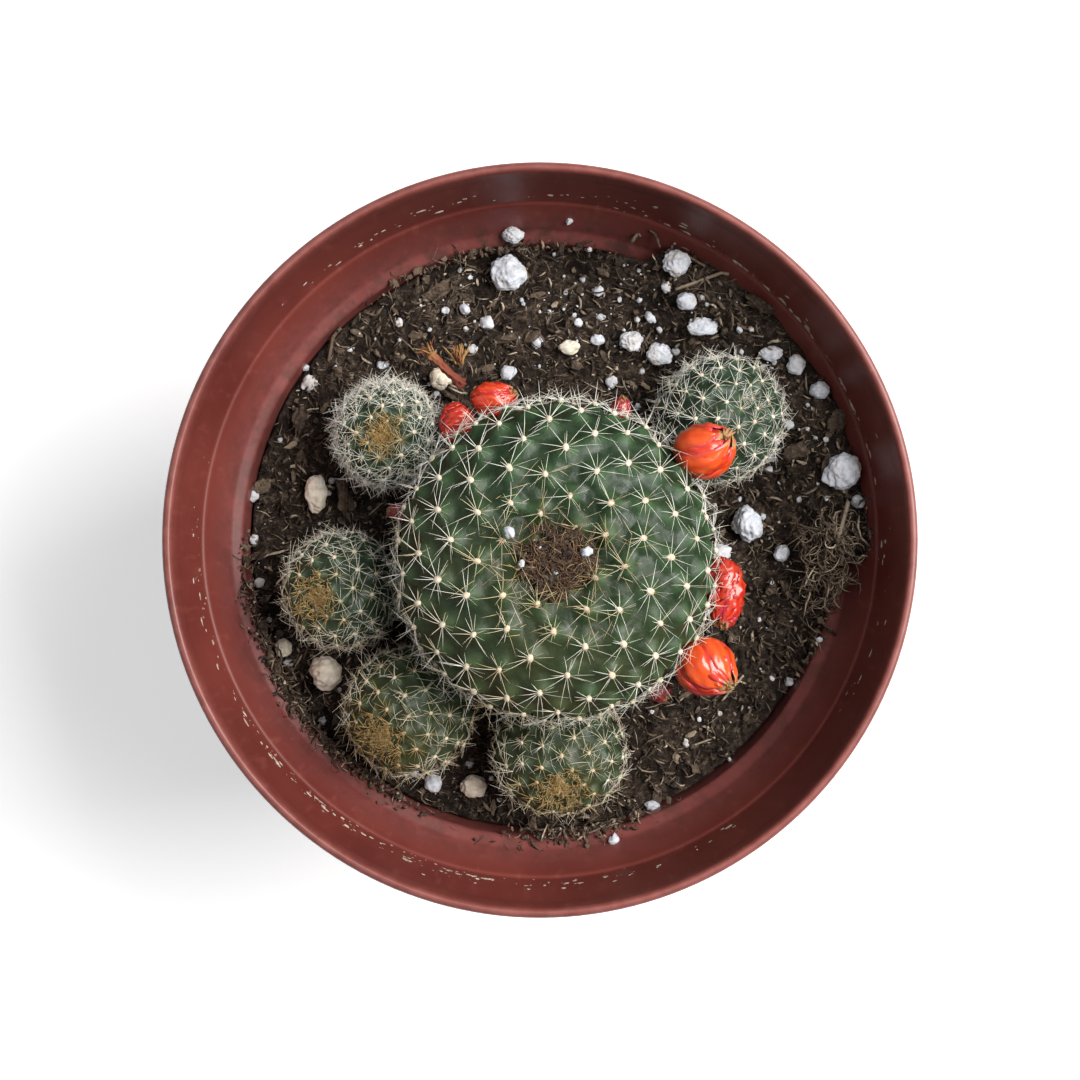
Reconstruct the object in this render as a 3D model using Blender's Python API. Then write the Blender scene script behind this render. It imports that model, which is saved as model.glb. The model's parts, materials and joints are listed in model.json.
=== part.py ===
"""Crown cactus (Rebutia): a main head and five offsets in gritty soil, in a round nursery pot.

The origin is on the floor at the pot's axis, +Z up. Lengths are in millimetres until add_object
writes them as metres.
"""

import math
import random

import bmesh
import bpy
import numpy as np
from mathutils import Matrix, Vector, noise
from mathutils.bvhtree import BVHTree

MM = 0.001
GAP = 0.3  # between pieces that touch
SEAT = 0.38  # the gap with what a facet may take of it
GOLDEN_ANGLE = math.radians(137.508)
UP = Vector((0.0, 0.0, 1.0))

# Pot
POT_HEIGHT = 85.0
RIM_RADIUS = 52.5
LIP_WIDTH = 1.4
WALL = 1.1
CREASE = (48.9, POT_HEIGHT - 12.0)  # radius and height of the fold line inside the collar
COLLAR_FOOT = (46.8, POT_HEIGHT - 17.0)
SHELF_OUTER = (46.3, POT_HEIGHT - 18.0)
SHELF_INNER = (44.0, POT_HEIGHT - 18.8)
FLOOR_RADIUS = 35.6
FLOOR_TOP = 2.4
FLOOR_UNDERSIDE = 1.2
FOOT_WIDTH = 3.2
FOOT_RADIUS = 36.4
DRAIN_RADIUS = 3.0
DRAIN_CIRCLE = 24.0
DRAIN_HOLES = 6
SIDES = 48  # of the pot and of the soil in it

# Soil
SOIL_LEVEL = POT_HEIGHT - 21.0
SOIL_RINGS = (41.0, 38.0, 35.0, 32.0, 29.0, 25.0, 20.0, 13.0)
SOIL_RELIEF = 0.8
CRUMB_RELIEF = 0.45
LAP_DIRECTION = math.radians(33.0)  # where the soil lies over the shelf
LAP_HALF_WIDTH = math.radians(44.0)
LAP_FADE = math.radians(24.0)
LAP_RISE = 6.8
TONGUE_RADIUS = 45.7
LOW_DIRECTION = math.radians(238.0)  # where it has sunk away from the wall
CLOD = (42.0, -2.6, 3.4, 6.0, 2.6)  # x, y, half width, half length, height
SOCKET_SIDES = 16  # of the plain hole that each head stands in
SOCKET_ROOM = 1.0

# Heads
BALL_POWER = 2.3  # of the flattened ball: 2 for an ellipse, more for fuller shoulders
STEM_STRAIGHT = 0.7  # share of the stem's polar angles on its side, the rest on its foot
STEM_PATCHES = 8
AREOLE_CROWDING = 1.13  # over 1 where areoles crowd towards the crown
TUBERCLE_SHOULDER = 0.42  # how far in from its groove a tubercle has its shoulder
PAD_HEIGHT = 0.12

# Spines
SPINE_BASE = 0.52  # radius of an areole's felt pad
SPINE_CLEARANCE = 0.55
SPINE_TWIST = math.radians(17.0)
SPINE_APART = 0.24
SPINE_START = 0.3  # share of a spine past which it keeps apart from others
SPINE_LOWEST = 66.0
# Share of the length, added rise and added twist, tried until a spine is clear
SPINE_TRIES = ((1.0, 0.0, 0.0), (1.0, 0.3, 0.15), (1.0, 0.5, -0.4), (0.8, 0.2, 0.3), (0.7, 0.6, 0.0))

# Colours, roughness
TERRACOTTA = (0.25, 0.055, 0.04)
PEAT = (0.045, 0.03, 0.02)
HEAD_GREEN = (0.045, 0.115, 0.05)
OFFSET_GREEN = (0.09, 0.15, 0.06)
ORANGE_RED = (0.72, 0.07, 0.02)
DARK_RED = (0.28, 0.01, 0.02)
DRY_FLOWER = (0.45, 0.12, 0.03)
PERLITE_WHITE = (0.72, 0.73, 0.78)
PEBBLE_BEIGE = (0.42, 0.34, 0.26)


class Head:
    """A cactus head: a flattened ball with a sunken crown, on a stem that goes down into the soil."""

    def __init__(self, name, centre, radius, top, low, lean, stem, areoles, look):
        self.name = name
        self.centre = Vector(centre)
        self.radius, self.wide = radius
        self.top = top
        self.low = low
        lean_direction, lean_angle = (math.radians(angle) for angle in lean)
        axis = Vector((-math.sin(lean_direction), math.cos(lean_direction), 0.0))
        turn = Matrix.Rotation(lean_angle, 4, axis) @ Matrix.Rotation(lean_direction, 4, "Z")
        self.place = Matrix.Translation(self.centre) @ turn
        self.stem_radius, self.stem_length = stem
        self.areoles, self.areole_reach = areoles
        self.sink, self.sink_width, self.relief, self.spine = look
        self.stem_polar = self.polar_of_stem()

    def polar_of_stem(self):
        """Polar angle at which the underside has narrowed to the stem."""
        polar = math.pi
        while self.ball(polar)[0] < self.stem_radius:
            polar -= 0.01
        return polar

    def ball(self, polar):
        """Radius and height of the flattened ball."""
        across, up = math.sin(polar), math.cos(polar)
        square = (across ** BALL_POWER + abs(up) ** BALL_POWER) ** (-1.0 / BALL_POWER)
        height = (self.top if up > 0.0 else self.low) * up * square
        radius = self.radius * across * square
        if up > 0.0:
            height -= self.sink * math.exp(-((radius / self.sink_width) ** 2))
        return radius, height

    def section(self, polar):
        """Radius and height of the head's smooth outline, stem included."""
        if polar <= self.stem_polar:
            return self.ball(polar)
        shoulder = self.ball(self.stem_polar)[1]
        along = (polar - self.stem_polar) / (math.pi - self.stem_polar)
        foot = shoulder - self.stem_length
        if along < STEM_STRAIGHT:
            return self.stem_radius, shoulder - self.stem_length * along / STEM_STRAIGHT
        return self.stem_radius * (1.0 - along) / (1.0 - STEM_STRAIGHT), foot

    def point(self, polar, azimuth, lift=0.0):
        """Place over the smooth outline, and the outward direction there."""
        radius, height = self.section(polar)
        step = 0.02
        before = self.section(max(polar - step, 0.0))
        after = self.section(min(polar + step, math.pi))
        slope = Vector((before[1] - after[1], after[0] - before[0])).normalized()
        around = Vector((math.cos(azimuth), math.sin(azimuth), 0.0))
        normal = (around * slope.x + UP * slope.y).normalized()
        place = around * radius + UP * height + normal * lift
        place.y *= self.wide
        return self.place @ place, (self.place.to_3x3() @ normal).normalized()


# name, centre, (radius, width factor), height above and below the centre, (lean direction, lean in
# degrees), (stem radius, length), (areoles, polar reach in degrees), (crown sink, its width, tubercle
# height, spine length)
HEADS = (
    Head("main_head", (2.2, -2.8, 81.5), (22.3, 1.0), 14.8, 18.0, (90, 2), (8.5, 13.0), (160, 140),
         (3.6, 7.5, 1.3, 3.3)),
    Head("offset_upper_left", (-22.4, 16.2, 72.2), (8.1, 1.0), 8.0, 8.5, (150, 14), (3.6, 9.0), (29, 125),
         (1.2, 2.2, 0.8, 3.0)),
    Head("offset_upper_right", (26.6, 17.9, 70.6), (10.1, 0.95), 9.2, 9.4, (33, 33), (4.2, 9.0), (35, 125),
         (0.8, 2.4, 0.9, 2.8)),
    Head("offset_left", (-29.3, -7.2, 71.6), (8.3, 1.05), 8.4, 8.6, (197, 34), (3.8, 9.0), (29, 125),
         (1.0, 2.4, 0.8, 2.8)),
    Head("offset_lower_left", (-18.9, -26.0, 71.4), (9.3, 1.08), 8.8, 9.0, (222, 36), (4.2, 9.0), (34, 125),
         (1.0, 2.6, 0.8, 2.8)),
    Head("offset_bottom", (2.8, -31.6, 70.4), (8.6, 1.24), 8.6, 8.8, (272, 34), (4.2, 9.0), (35, 125),
         (1.0, 2.6, 0.8, 2.6)),
)

# name, centre, axis (direction and rise in degrees), length, radius, lobes, colour
BUDS = (
    ("bud_top_left", (-13.2, 18.2, 76.4), (236, 4), 6.0, 2.3, 5, ORANGE_RED),
    ("bud_top_middle", (-7.0, 21.4, 77.2), (22, 8), 6.4, 2.5, 6, ORANGE_RED),
    ("bud_upper_right", (23.0, 12.6, 84.4), (35, 38), 8.6, 4.0, 6, ORANGE_RED),
    ("bud_right", (25.6, -7.4, 78.6), (255, 6), 10.0, 3.0, 5, ORANGE_RED),
    ("bud_lower_right", (22.4, -17.2, 81.8), (322, 26), 8.8, 3.9, 6, ORANGE_RED),
    ("bud_small_lower", (17.4, -21.8, 75.6), (310, 20), 3.8, 1.6, 5, DARK_RED),
    ("bud_small_top", (12.3, 20.2, 75.8), (66, 25), 3.8, 1.5, 5, DARK_RED),
    ("bud_small_left", (-21.9, 4.6, 75.4), (165, 20), 4.0, 1.4, 5, DARK_RED),
)
BUD_ROOM = 0.3  # kept free around a bud, in the heads beside it
BUD_LEVELS = (0.04, 0.16, 0.34, 0.54, 0.74, 0.88, 0.97)
BUD_TWIST = 0.9
BUD_FOLD = 0.26  # depth of the creases between tepals

# name, place on the soil (x, y), full sizes (x, y, z), turn in degrees, colour
STONES = (
    ("perlite_01", (-4.3, 39.7), (5.9, 5.4, 4.4), 20, PERLITE_WHITE),
    ("perlite_02", (19.9, 40.0), (4.0, 4.2, 3.4), 60, PERLITE_WHITE),
    ("perlite_03", (21.5, 34.8), (3.1, 3.0, 2.4), 10, PERLITE_WHITE),
    ("perlite_04", (13.4, 29.4), (4.0, 3.0, 2.4), -35, PERLITE_WHITE),
    ("perlite_05", (17.6, 27.6), (4.3, 3.4, 2.4), -30, PERLITE_WHITE),
    ("perlite_06", (23.6, 31.2), (4.6, 2.7, 2.4), -8, PERLITE_WHITE),
    ("perlite_07", (33.6, 27.2), (3.7, 2.6, 2.2), 0, PERLITE_WHITE),
    ("perlite_08", (37.2, 25.5), (2.9, 3.2, 2.2), 30, PERLITE_WHITE),
    ("perlite_09", (40.6, 21.7), (3.3, 3.0, 2.6), 0, PERLITE_WHITE),
    ("perlite_10", (43.6, 10.1), (6.0, 5.6, 4.6), 15, PERLITE_WHITE),
    ("perlite_11", (30.6, 2.2), (5.0, 6.4, 4.6), -10, PERLITE_WHITE),
    ("perlite_12", (27.0, -1.9), (3.2, 2.9, 2.4), 0, PERLITE_WHITE),
    ("perlite_13", (35.6, -2.0), (2.6, 2.5, 2.0), 0, PERLITE_WHITE),
    ("perlite_14", (-16.0, -36.2), (2.8, 3.0, 2.2), 0, PERLITE_WHITE),
    ("pebble_01", (-14.6, 23.8), (3.7, 3.7, 3.0), 0, PEBBLE_BEIGE),
    ("pebble_02", (-33.0, 6.6), (3.7, 6.4, 3.2), 12, PEBBLE_BEIGE),
    ("pebble_03", (-32.2, -19.8), (5.2, 5.6, 4.0), -20, PEBBLE_BEIGE),
    ("pebble_04", (-38.2, -16.0), (3.0, 3.0, 2.4), 0, PEBBLE_BEIGE),
    ("pebble_05", (-9.8, -36.6), (4.8, 3.5, 3.0), 25, PEBBLE_BEIGE),
    ("pebble_06", (4.4, 28.5), (3.4, 2.6, 2.2), 0, PEBBLE_BEIGE),
)
STONE_CORNERS = 16
SHELF_STONE = ("perlite_on_shelf", (-3.9, 44.7), (3.8, 2.8, 2.6), 4, PERLITE_WHITE)

# Dry flower: points from its foot to its frayed tip
WITHERED_PATH = ((-11.2, 22.3, 76.0), (-12.4, 23.4, 77.4), (-13.9, 24.8, 78.3), (-15.6, 26.4, 78.6))
WITHERED_RADII = (1.0, 0.75, 0.7, 1.15)

# Litter in the sunken crown
LITTER_PLACE = (1.6, -2.2)
LITTER_RADII = (6.6, 5.4)
LITTER_HEIGHT = 2.6
LITTER_SEAT = 0.65  # above the smooth crown, a gap over the areoles
LITTER_SIDES = 12


def clear_scene():
    for old in list(bpy.data.objects):
        bpy.data.objects.remove(old, do_unlink=True)


def principled(name, colour, roughness):
    material = bpy.data.materials.get(name) or bpy.data.materials.new(name)
    material.use_nodes = True
    shader = material.node_tree.nodes["Principled BSDF"]
    shader.inputs["Base Color"].default_value = (*colour, 1.0)
    shader.inputs["Roughness"].default_value = roughness
    shader.inputs["Metallic"].default_value = 0.0
    return material


def add_object(name, verts, faces, material, sharp_angle=40.0):
    """Object from points in millimetres, with its faces turned outwards."""
    mesh = bpy.data.meshes.new(name)
    mesh.from_pydata([tuple(Vector(point) * MM) for point in verts], [], faces)
    shape = bmesh.new()
    shape.from_mesh(mesh)
    bmesh.ops.recalc_face_normals(shape, faces=shape.faces)
    shape.to_mesh(mesh)
    shape.free()
    mesh.materials.append(material)
    mesh.shade_smooth()
    mesh.set_sharp_from_angle(angle=math.radians(sharp_angle))
    item = bpy.data.objects.new(name, mesh)
    bpy.context.scene.collection.objects.link(item)
    return item


def skin(start, rings, end):
    """Closed body over a stack of rings with equal numbers of points, between two end points."""
    count = len(rings[0])
    verts = [start] + [point for ring in rings for point in ring] + [end]
    faces = []
    last = 1 + (len(rings) - 1) * count
    for i in range(count):
        j = (i + 1) % count
        faces.append((0, 1 + j, 1 + i))
        faces.append((last + i, last + j, len(verts) - 1))
        for low in range(1, last, count):
            high = low + count
            faces.append((low + i, low + j, high + j))
            faces.append((low + i, high + j, high + i))
    return verts, faces


def turned_ring(radius, height, sides=SIDES):
    """Regular ring about the pot's axis."""
    angles = [2.0 * math.pi * i / sides for i in range(sides)]
    return [Vector((radius * math.cos(a), radius * math.sin(a), height)) for a in angles]


def cut(item, cutters):
    """Subtract closed cutters from an object and remove them."""
    group = bpy.data.collections.new(item.name + "_cutters")
    bpy.context.scene.collection.children.link(group)
    for cutter in cutters:
        bpy.context.scene.collection.objects.unlink(cutter)
        group.objects.link(cutter)
    boolean = item.modifiers.new("holes", "BOOLEAN")
    boolean.operation = "DIFFERENCE"
    boolean.operand_type = "COLLECTION"
    boolean.collection = group
    bpy.context.view_layer.update()
    evaluated = item.evaluated_get(bpy.context.evaluated_depsgraph_get())
    mesh = bpy.data.meshes.new_from_object(evaluated)
    item.modifiers.clear()
    item.data = mesh
    for cutter in cutters:
        bpy.data.objects.remove(cutter, do_unlink=True)
    bpy.data.collections.remove(group)


def add_pot():
    """Thin moulded shell: floor, tapered wall, shelf, collar and rolled lip, on a foot ring."""
    rim_inside = RIM_RADIUS - LIP_WIDTH
    crease_radius, crease_height = CREASE
    collar_radius, collar_height = COLLAR_FOOT
    shelf_radius, shelf_height = SHELF_INNER
    section = (
        (FLOOR_RADIUS - 0.8, FLOOR_TOP),
        (FLOOR_RADIUS, FLOOR_TOP + 1.2),
        (shelf_radius - 0.2, shelf_height - 0.3),
        SHELF_INNER,
        SHELF_OUTER,
        COLLAR_FOOT,
        CREASE,
        (rim_inside, POT_HEIGHT - 0.4),
        (rim_inside + 0.4, POT_HEIGHT),
        (RIM_RADIUS - 0.4, POT_HEIGHT),
        (RIM_RADIUS, POT_HEIGHT - 0.5),
        (RIM_RADIUS, POT_HEIGHT - 2.3),
        (RIM_RADIUS - 0.7, POT_HEIGHT - 3.0),
        (crease_radius + WALL, crease_height),
        (collar_radius + WALL + 0.2, collar_height - 1.6),
        (collar_radius + 0.3, collar_height - 2.4),
        (shelf_radius + WALL, shelf_height - 1.4),
        (FLOOR_RADIUS + WALL + 0.2, FLOOR_UNDERSIDE + 0.8),
        (FOOT_RADIUS, 0.0),
        (FOOT_RADIUS - FOOT_WIDTH, 0.0),
        (FOOT_RADIUS - FOOT_WIDTH - 0.3, FLOOR_UNDERSIDE),
    )
    rings = [turned_ring(radius, height) for radius, height in section]
    verts, faces = skin(UP * FLOOR_TOP, rings, UP * FLOOR_UNDERSIDE)
    pot = add_object("pot", verts, faces, principled("terracotta_plastic", TERRACOTTA, 0.42), 30.0)
    cut(pot, [drain_cutter(i) for i in range(DRAIN_HOLES)])
    return verts, faces


def drain_cutter(index):
    angle = 2.0 * math.pi * (index + 0.5) / DRAIN_HOLES
    middle = Vector((math.cos(angle), math.sin(angle), 0.0)) * DRAIN_CIRCLE
    low, high = FLOOR_UNDERSIDE - 2.0, FLOOR_TOP + 2.0
    rings = [[middle + point for point in turned_ring(DRAIN_RADIUS, height, 8)] for height in (low, high)]
    verts, faces = skin(middle + UP * low, rings, middle + UP * high)
    return add_object(f"drain_cutter_{index}", verts, faces, None)


def smooth(value):
    """Smooth step from 0 to 1."""
    value = min(max(value, 0.0), 1.0)
    return value * value * (3.0 - 2.0 * value)


def soil_lap(azimuth):
    """1 where the soil lies over the shelf, 0 where it ends at the wall below it."""
    off = abs((azimuth - LAP_DIRECTION + math.pi) % (2.0 * math.pi) - math.pi)
    return smooth((LAP_HALF_WIDTH - off) / LAP_FADE + 0.5)


def soil_height(x, y):
    """Height of the soil's uneven top."""
    azimuth = math.atan2(y, x)
    radius = math.hypot(x, y)
    height = SOIL_LEVEL + 0.5 * smooth((24.0 - radius) / 12.0)
    edge = smooth((radius - 33.0) / 11.0)
    height += edge * (LAP_RISE * soil_lap(azimuth) - 0.4)
    height -= edge * 1.3 * max(math.cos(azimuth - LOW_DIRECTION), 0.0)
    height += SOIL_RELIEF * noise.noise(Vector((x, y, 3.0)) * 0.11)
    height += CRUMB_RELIEF * noise.noise(Vector((x, y, 9.0)) * 0.43)
    clod_x, clod_y, half_width, half_length, rise = CLOD
    away = ((x - clod_x) / half_width) ** 2 + ((y - clod_y) / half_length) ** 2
    return height + rise * math.exp(-(away ** 1.5))


def wall_radius(height):
    """Inner radius of the pot's tapered wall, below the shelf."""
    low, high = FLOOR_TOP + 1.2, SHELF_INNER[1] - 0.3
    return FLOOR_RADIUS + (SHELF_INNER[0] - 0.2 - FLOOR_RADIUS) * (height - low) / (high - low)


def height_at_shelf(azimuth):
    return soil_height(SHELF_INNER[0] * math.cos(azimuth), SHELF_INNER[0] * math.sin(azimuth))


def collar_radius(height):
    """Inner radius of the collar's lower band."""
    (low_radius, low), (high_radius, high) = COLLAR_FOOT, CREASE
    return low_radius + (high_radius - low_radius) * (height - low) / (high - low)


def soil_body():
    """Plug that fills the pot, rough on top, with a tongue over the shelf at the right."""
    shelf_slope = (SHELF_OUTER[1] - SHELF_INNER[1]) / (SHELF_OUTER[0] - SHELF_INNER[0])
    bottom = FLOOR_TOP + GAP
    rings = [turned_ring(FLOOR_RADIUS - 1.3, bottom), turned_ring(FLOOR_RADIUS - GAP, bottom + 1.3)]
    wall_ring, tongue_ring, edge_ring = [], [], []
    for i in range(SIDES):
        azimuth = 2.0 * math.pi * i / SIDES
        around = Vector((math.cos(azimuth), math.sin(azimuth), 0.0))
        height_there = height_at_shelf(azimuth)
        lowest_beside = min(height_at_shelf(azimuth + sign * 2.0 * math.pi / SIDES) for sign in (-1, 0, 1))
        lap = smooth((lowest_beside - SHELF_INNER[1] - 0.9) / 1.6)
        reach = wall_radius(min(height_there, SHELF_INNER[1])) - SEAT
        reach += (TONGUE_RADIUS - reach) * lap
        edge_height = soil_height(around.x * reach, around.y * reach)
        edge_reach = reach + max(collar_radius(edge_height) - SEAT - 0.1 - TONGUE_RADIUS, 0.0) * lap
        wall_height = min(SHELF_INNER[1] + 0.35, edge_height - 0.9)
        radius = min(wall_radius(wall_height) - SEAT, SHELF_INNER[0] - GAP - 0.3)
        over_shelf = SHELF_INNER[1] + shelf_slope * (reach - SHELF_INNER[0]) + GAP + 0.1
        tongue_height = wall_height + 0.35
        if lap > 0.0:
            tongue_height = max(tongue_height, over_shelf)
        wall_ring.append(around * radius + UP * wall_height)
        tongue_ring.append(around * (reach - 0.25) + UP * tongue_height)
        edge_height = max(edge_height, tongue_height + 0.4)
        edge_ring.append(around * edge_reach + UP * edge_height)
    rings += [wall_ring, tongue_ring, edge_ring]
    for radius in SOIL_RINGS:
        ring = turned_ring(radius, 0.0)
        for point in ring:
            point.z = soil_height(point.x, point.y)
        rings.append(ring)
    return skin(UP * bottom, rings, UP * soil_height(0.0, 0.0))


def socket_cutter(head):
    """Plain hole in the soil for a head's underside and stem."""
    under = math.radians(head.areole_reach - 8.0)
    stem_part = math.pi - head.stem_polar
    polars = [under * share for share in (0.2, 0.45, 0.7, 0.85, 1.0)]
    polars += [head.stem_polar + along * stem_part for along in (0.3, 0.7)]
    turns = [2.0 * math.pi * i / SOCKET_SIDES for i in range(SOCKET_SIDES)]
    rings = [[head.point(polar, turn, SOCKET_ROOM)[0] for turn in reversed(turns)] for polar in polars]
    foot = head.point(math.pi, 0.0, SOCKET_ROOM)[0]
    rings.append([point + (foot - head.point(math.pi, 0.0)[0]) for point in rings[-1]])
    roof = sum(rings[0], Vector()) / len(turns)
    end = sum(rings[-1], Vector()) / len(turns)
    verts, faces = skin(roof, rings, end)
    return add_object(head.name + "_socket", verts, faces, None)


def unit(polar, azimuth):
    around = Vector((math.cos(azimuth), math.sin(azimuth), 0.0))
    return around * math.sin(polar) + UP * math.cos(polar)


def cell_centres(head):
    """Directions of the areoles, in golden-angle spirals, then of the plain patches on the stem."""
    reach = 1.0 - math.cos(math.radians(head.areole_reach))
    centres = []
    for i in range(head.areoles):
        share = ((i + 0.5) / head.areoles) ** AREOLE_CROWDING
        centres.append(unit(math.acos(1.0 - reach * share), i * GOLDEN_ANGLE))
    stem_part = math.pi - head.stem_polar
    for row, along in enumerate((0.15, 0.62)):
        for i in range(STEM_PATCHES):
            turn = 2.0 * math.pi * (i + 0.5 * row) / STEM_PATCHES
            centres.append(unit(head.stem_polar + stem_part * along, turn))
    centres.append(-UP)
    return centres


def sphere_triangles(points):
    """Delaunay triangles of points on the unit sphere."""
    net = bmesh.new()
    for point in points:
        net.verts.new(point)
    net.verts.index_update()
    bmesh.ops.convex_hull(net, input=net.verts)
    triangles = [tuple(vert.index for vert in face.verts) for face in net.faces]
    net.free()
    return triangles


def pushed_clear(point, balls):
    """The point, moved out of the room that a bud needs."""
    for middle, room in balls:
        away = point - middle
        if away.length < room:
            point = middle + away.normalized() * room
    return point


def head_body(head, balls):
    """Tubercled body of a head, and the felt pads of its areoles, from which the spines grow."""
    centres = cell_centres(head)
    triangles = sphere_triangles(centres)
    verts, faces, pads = [], [], []

    def place(direction, lift):
        polar = math.acos(min(max(direction.z, -1.0), 1.0))
        spot, normal = head.point(polar, math.atan2(direction.y, direction.x), lift)
        verts.append(pushed_clear(spot, balls))
        return len(verts) - 1, normal, verts[-1] != spot

    owners = [[] for _ in centres]
    for index, triangle in enumerate(triangles):
        for corner in triangle:
            owners[corner].append(index)
    middles = []
    for triangle in triangles:
        middle = sum((centres[corner] for corner in triangle), Vector()).normalized()
        middles.append(middle)
        on_stem = min(triangle) >= head.areoles
        place(middle, 0.0 if on_stem else -head.relief)

    for number, centre in enumerate(centres):
        side = centre.orthogonal().normalized()
        ahead = centre.cross(side)
        loop = sorted(owners[number], key=lambda i: math.atan2(middles[i].dot(ahead), middles[i].dot(side)))
        bare = number >= head.areoles
        hub, normal, pushed = place(centre, 0.0 if bare else PAD_HEIGHT)
        if bare or pushed:
            for i, corner in enumerate(loop):
                faces.append((hub, corner, loop[(i + 1) % len(loop)]))
            continue
        lower = loop
        if head is HEADS[0] and centre.z > -0.1:
            inner = [middles[i].lerp(centre, TUBERCLE_SHOULDER).normalized() for i in loop]
            lower = [place(direction, -0.3 * head.relief)[0] for direction in inner]
            faces += band(loop, lower)
        rim = []
        for corner in loop:
            away = verts[corner] - verts[hub]
            away -= normal * away.dot(normal)
            verts.append(verts[hub] + away.normalized() * SPINE_BASE - normal * PAD_HEIGHT)
            rim.append(len(verts) - 1)
        faces += band(lower, rim)
        for i, corner in enumerate(rim):
            pads.append((len(faces), hub, corner, rim[(i + 1) % len(rim)], normal))
            faces.append((hub, corner, rim[(i + 1) % len(rim)]))
    return verts, faces, pads


def band(outer, inner):
    """Two triangles for each pair of neighbours on two loops."""
    faces = []
    for i in range(len(outer)):
        j = (i + 1) % len(outer)
        faces.append((outer[i], outer[j], inner[j]))
        faces.append((outer[i], inner[j], inner[i]))
    return faces


def segment_distances(start, end, starts, ends):
    """Least distances between a segment and each of many others."""
    own, others, between = end - start, ends - starts, start - starts
    own_own = own @ own
    other_other = np.einsum("ij,ij->i", others, others)
    own_other = others @ own
    own_between = between @ own
    other_between = np.einsum("ij,ij->i", others, between)
    spread = np.maximum(own_own * other_other - own_other ** 2, 1e-9)
    along = np.clip((own_other * other_between - own_between * other_other) / spread, 0.0, 1.0)
    across = np.clip((own_other * along + other_between) / other_other, 0.0, 1.0)
    along = np.clip((across * own_other - own_between) / own_own, 0.0, 1.0)
    apart = between + along[:, None] * own - across[:, None] * others
    return np.sqrt(np.einsum("ij,ij->i", apart, apart))


def is_clear(root, tip, own_tree, other_trees, grown):
    """Whether a spine passes its own body, the other pieces and the spines already grown."""
    steps = 12
    for i in range(1, steps + 1):
        spot = root.lerp(tip, i / steps)
        if any(tree.find_nearest(spot, SPINE_CLEARANCE)[0] is not None for tree in other_trees):
            return False
        if (spot - root).length > 2.0 * SPINE_BASE and own_tree.find_nearest(spot, GAP)[0] is not None:
            return False
    if not grown:
        return True
    segments = np.array([(*start, *end) for start, end in grown])
    start = root.lerp(tip, SPINE_START)
    apart = segment_distances(np.array(start), np.array(tip), segments[:, :3], segments[:, 3:])
    return bool(apart.min() > SPINE_APART)


def grow_spines(head, body, other_trees, draw):
    """Raise a thin three-sided spine from each part of each felt pad that faces up or outwards."""
    verts, faces, pads = body
    own_tree = BVHTree.FromPolygons(verts, faces)
    verts, faces = list(verts), list(faces)
    grown = []
    for face, hub, first, second, normal in pads:
        root = (verts[hub] + verts[first] + verts[second]) / 3.0
        if root.z < SPINE_LOWEST:
            continue
        out = (verts[first] + verts[second]) / 2.0 - verts[hub]
        out = (out - normal * out.dot(normal)).normalized()
        length = head.spine * draw.uniform(0.85, 1.1)
        rise = math.radians(draw.uniform(26.0, 44.0))
        twist = SPINE_TWIST + math.radians(draw.uniform(-7.0, 7.0))
        for shorter, higher, further in SPINE_TRIES:
            lifted = rise + higher
            aim = Matrix.Rotation(twist + further, 3, normal) @ out
            tip = root + (aim * math.cos(lifted) + normal * math.sin(lifted)) * length * shorter
            if is_clear(root, tip, own_tree, other_trees, grown):
                grown.append((root.lerp(tip, SPINE_START), tip))
                verts.append(tip)
                point = len(verts) - 1
                faces[face] = (hub, first, point)
                faces += [(first, second, point), (second, hub, point)]
                break
    return verts, faces


def bud_axis(direction, rise):
    turn, lift = math.radians(direction), math.radians(rise)
    return Vector((math.cos(lift) * math.cos(turn), math.cos(lift) * math.sin(turn), math.sin(lift)))


def bud_balls():
    """Round room that each bud takes, for the heads beside it to leave free."""
    balls = []
    for _, centre, axis, length, radius, _, _ in BUDS:
        half = bud_axis(*axis) * (length / 2.0 - radius)
        for sign in (-1.0, 0.0, 1.0):
            balls.append((Vector(centre) + half * sign, radius + BUD_ROOM))
    return balls


def bud_body(centre, axis, length, radius, lobes, draw):
    """Closed flower: overlapping folded tepals round a core, with their dry points free at the tip."""
    along = bud_axis(*axis)
    side = along.orthogonal().normalized()
    ahead = along.cross(side)
    foot = Vector(centre) - along * length / 2.0
    count = lobes * 2
    rings = []
    for level in BUD_LEVELS:
        ring = []
        swell = math.sin(math.pi * (0.08 + 0.86 * level) ** 0.85) ** 0.65
        for i in range(count):
            turn = 2.0 * math.pi * i / count + BUD_TWIST * level
            on_rib = i % 2 == 0
            fold = 1.0 if on_rib else 1.0 - BUD_FOLD * smooth(level * 1.6)
            out = (side * math.cos(turn) + ahead * math.sin(turn)) * radius * swell * fold
            up = level + 0.03 if on_rib and level > 0.9 else level
            ring.append(foot + along * length * up + out * draw.uniform(0.93, 1.0))
        rings.append(ring)
    return skin(foot, rings, foot + along * length * 0.86)


def tube_ring(middle, along, radius, count, draw):
    side = along.cross(UP).normalized()
    ahead = along.cross(side)
    ring = []
    for i in range(count):
        turn = 2.0 * math.pi * i / count
        reach = radius * draw.uniform(0.7, 1.0)
        ring.append(middle + (side * math.cos(turn) + ahead * math.sin(turn)) * reach)
    return ring


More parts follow.
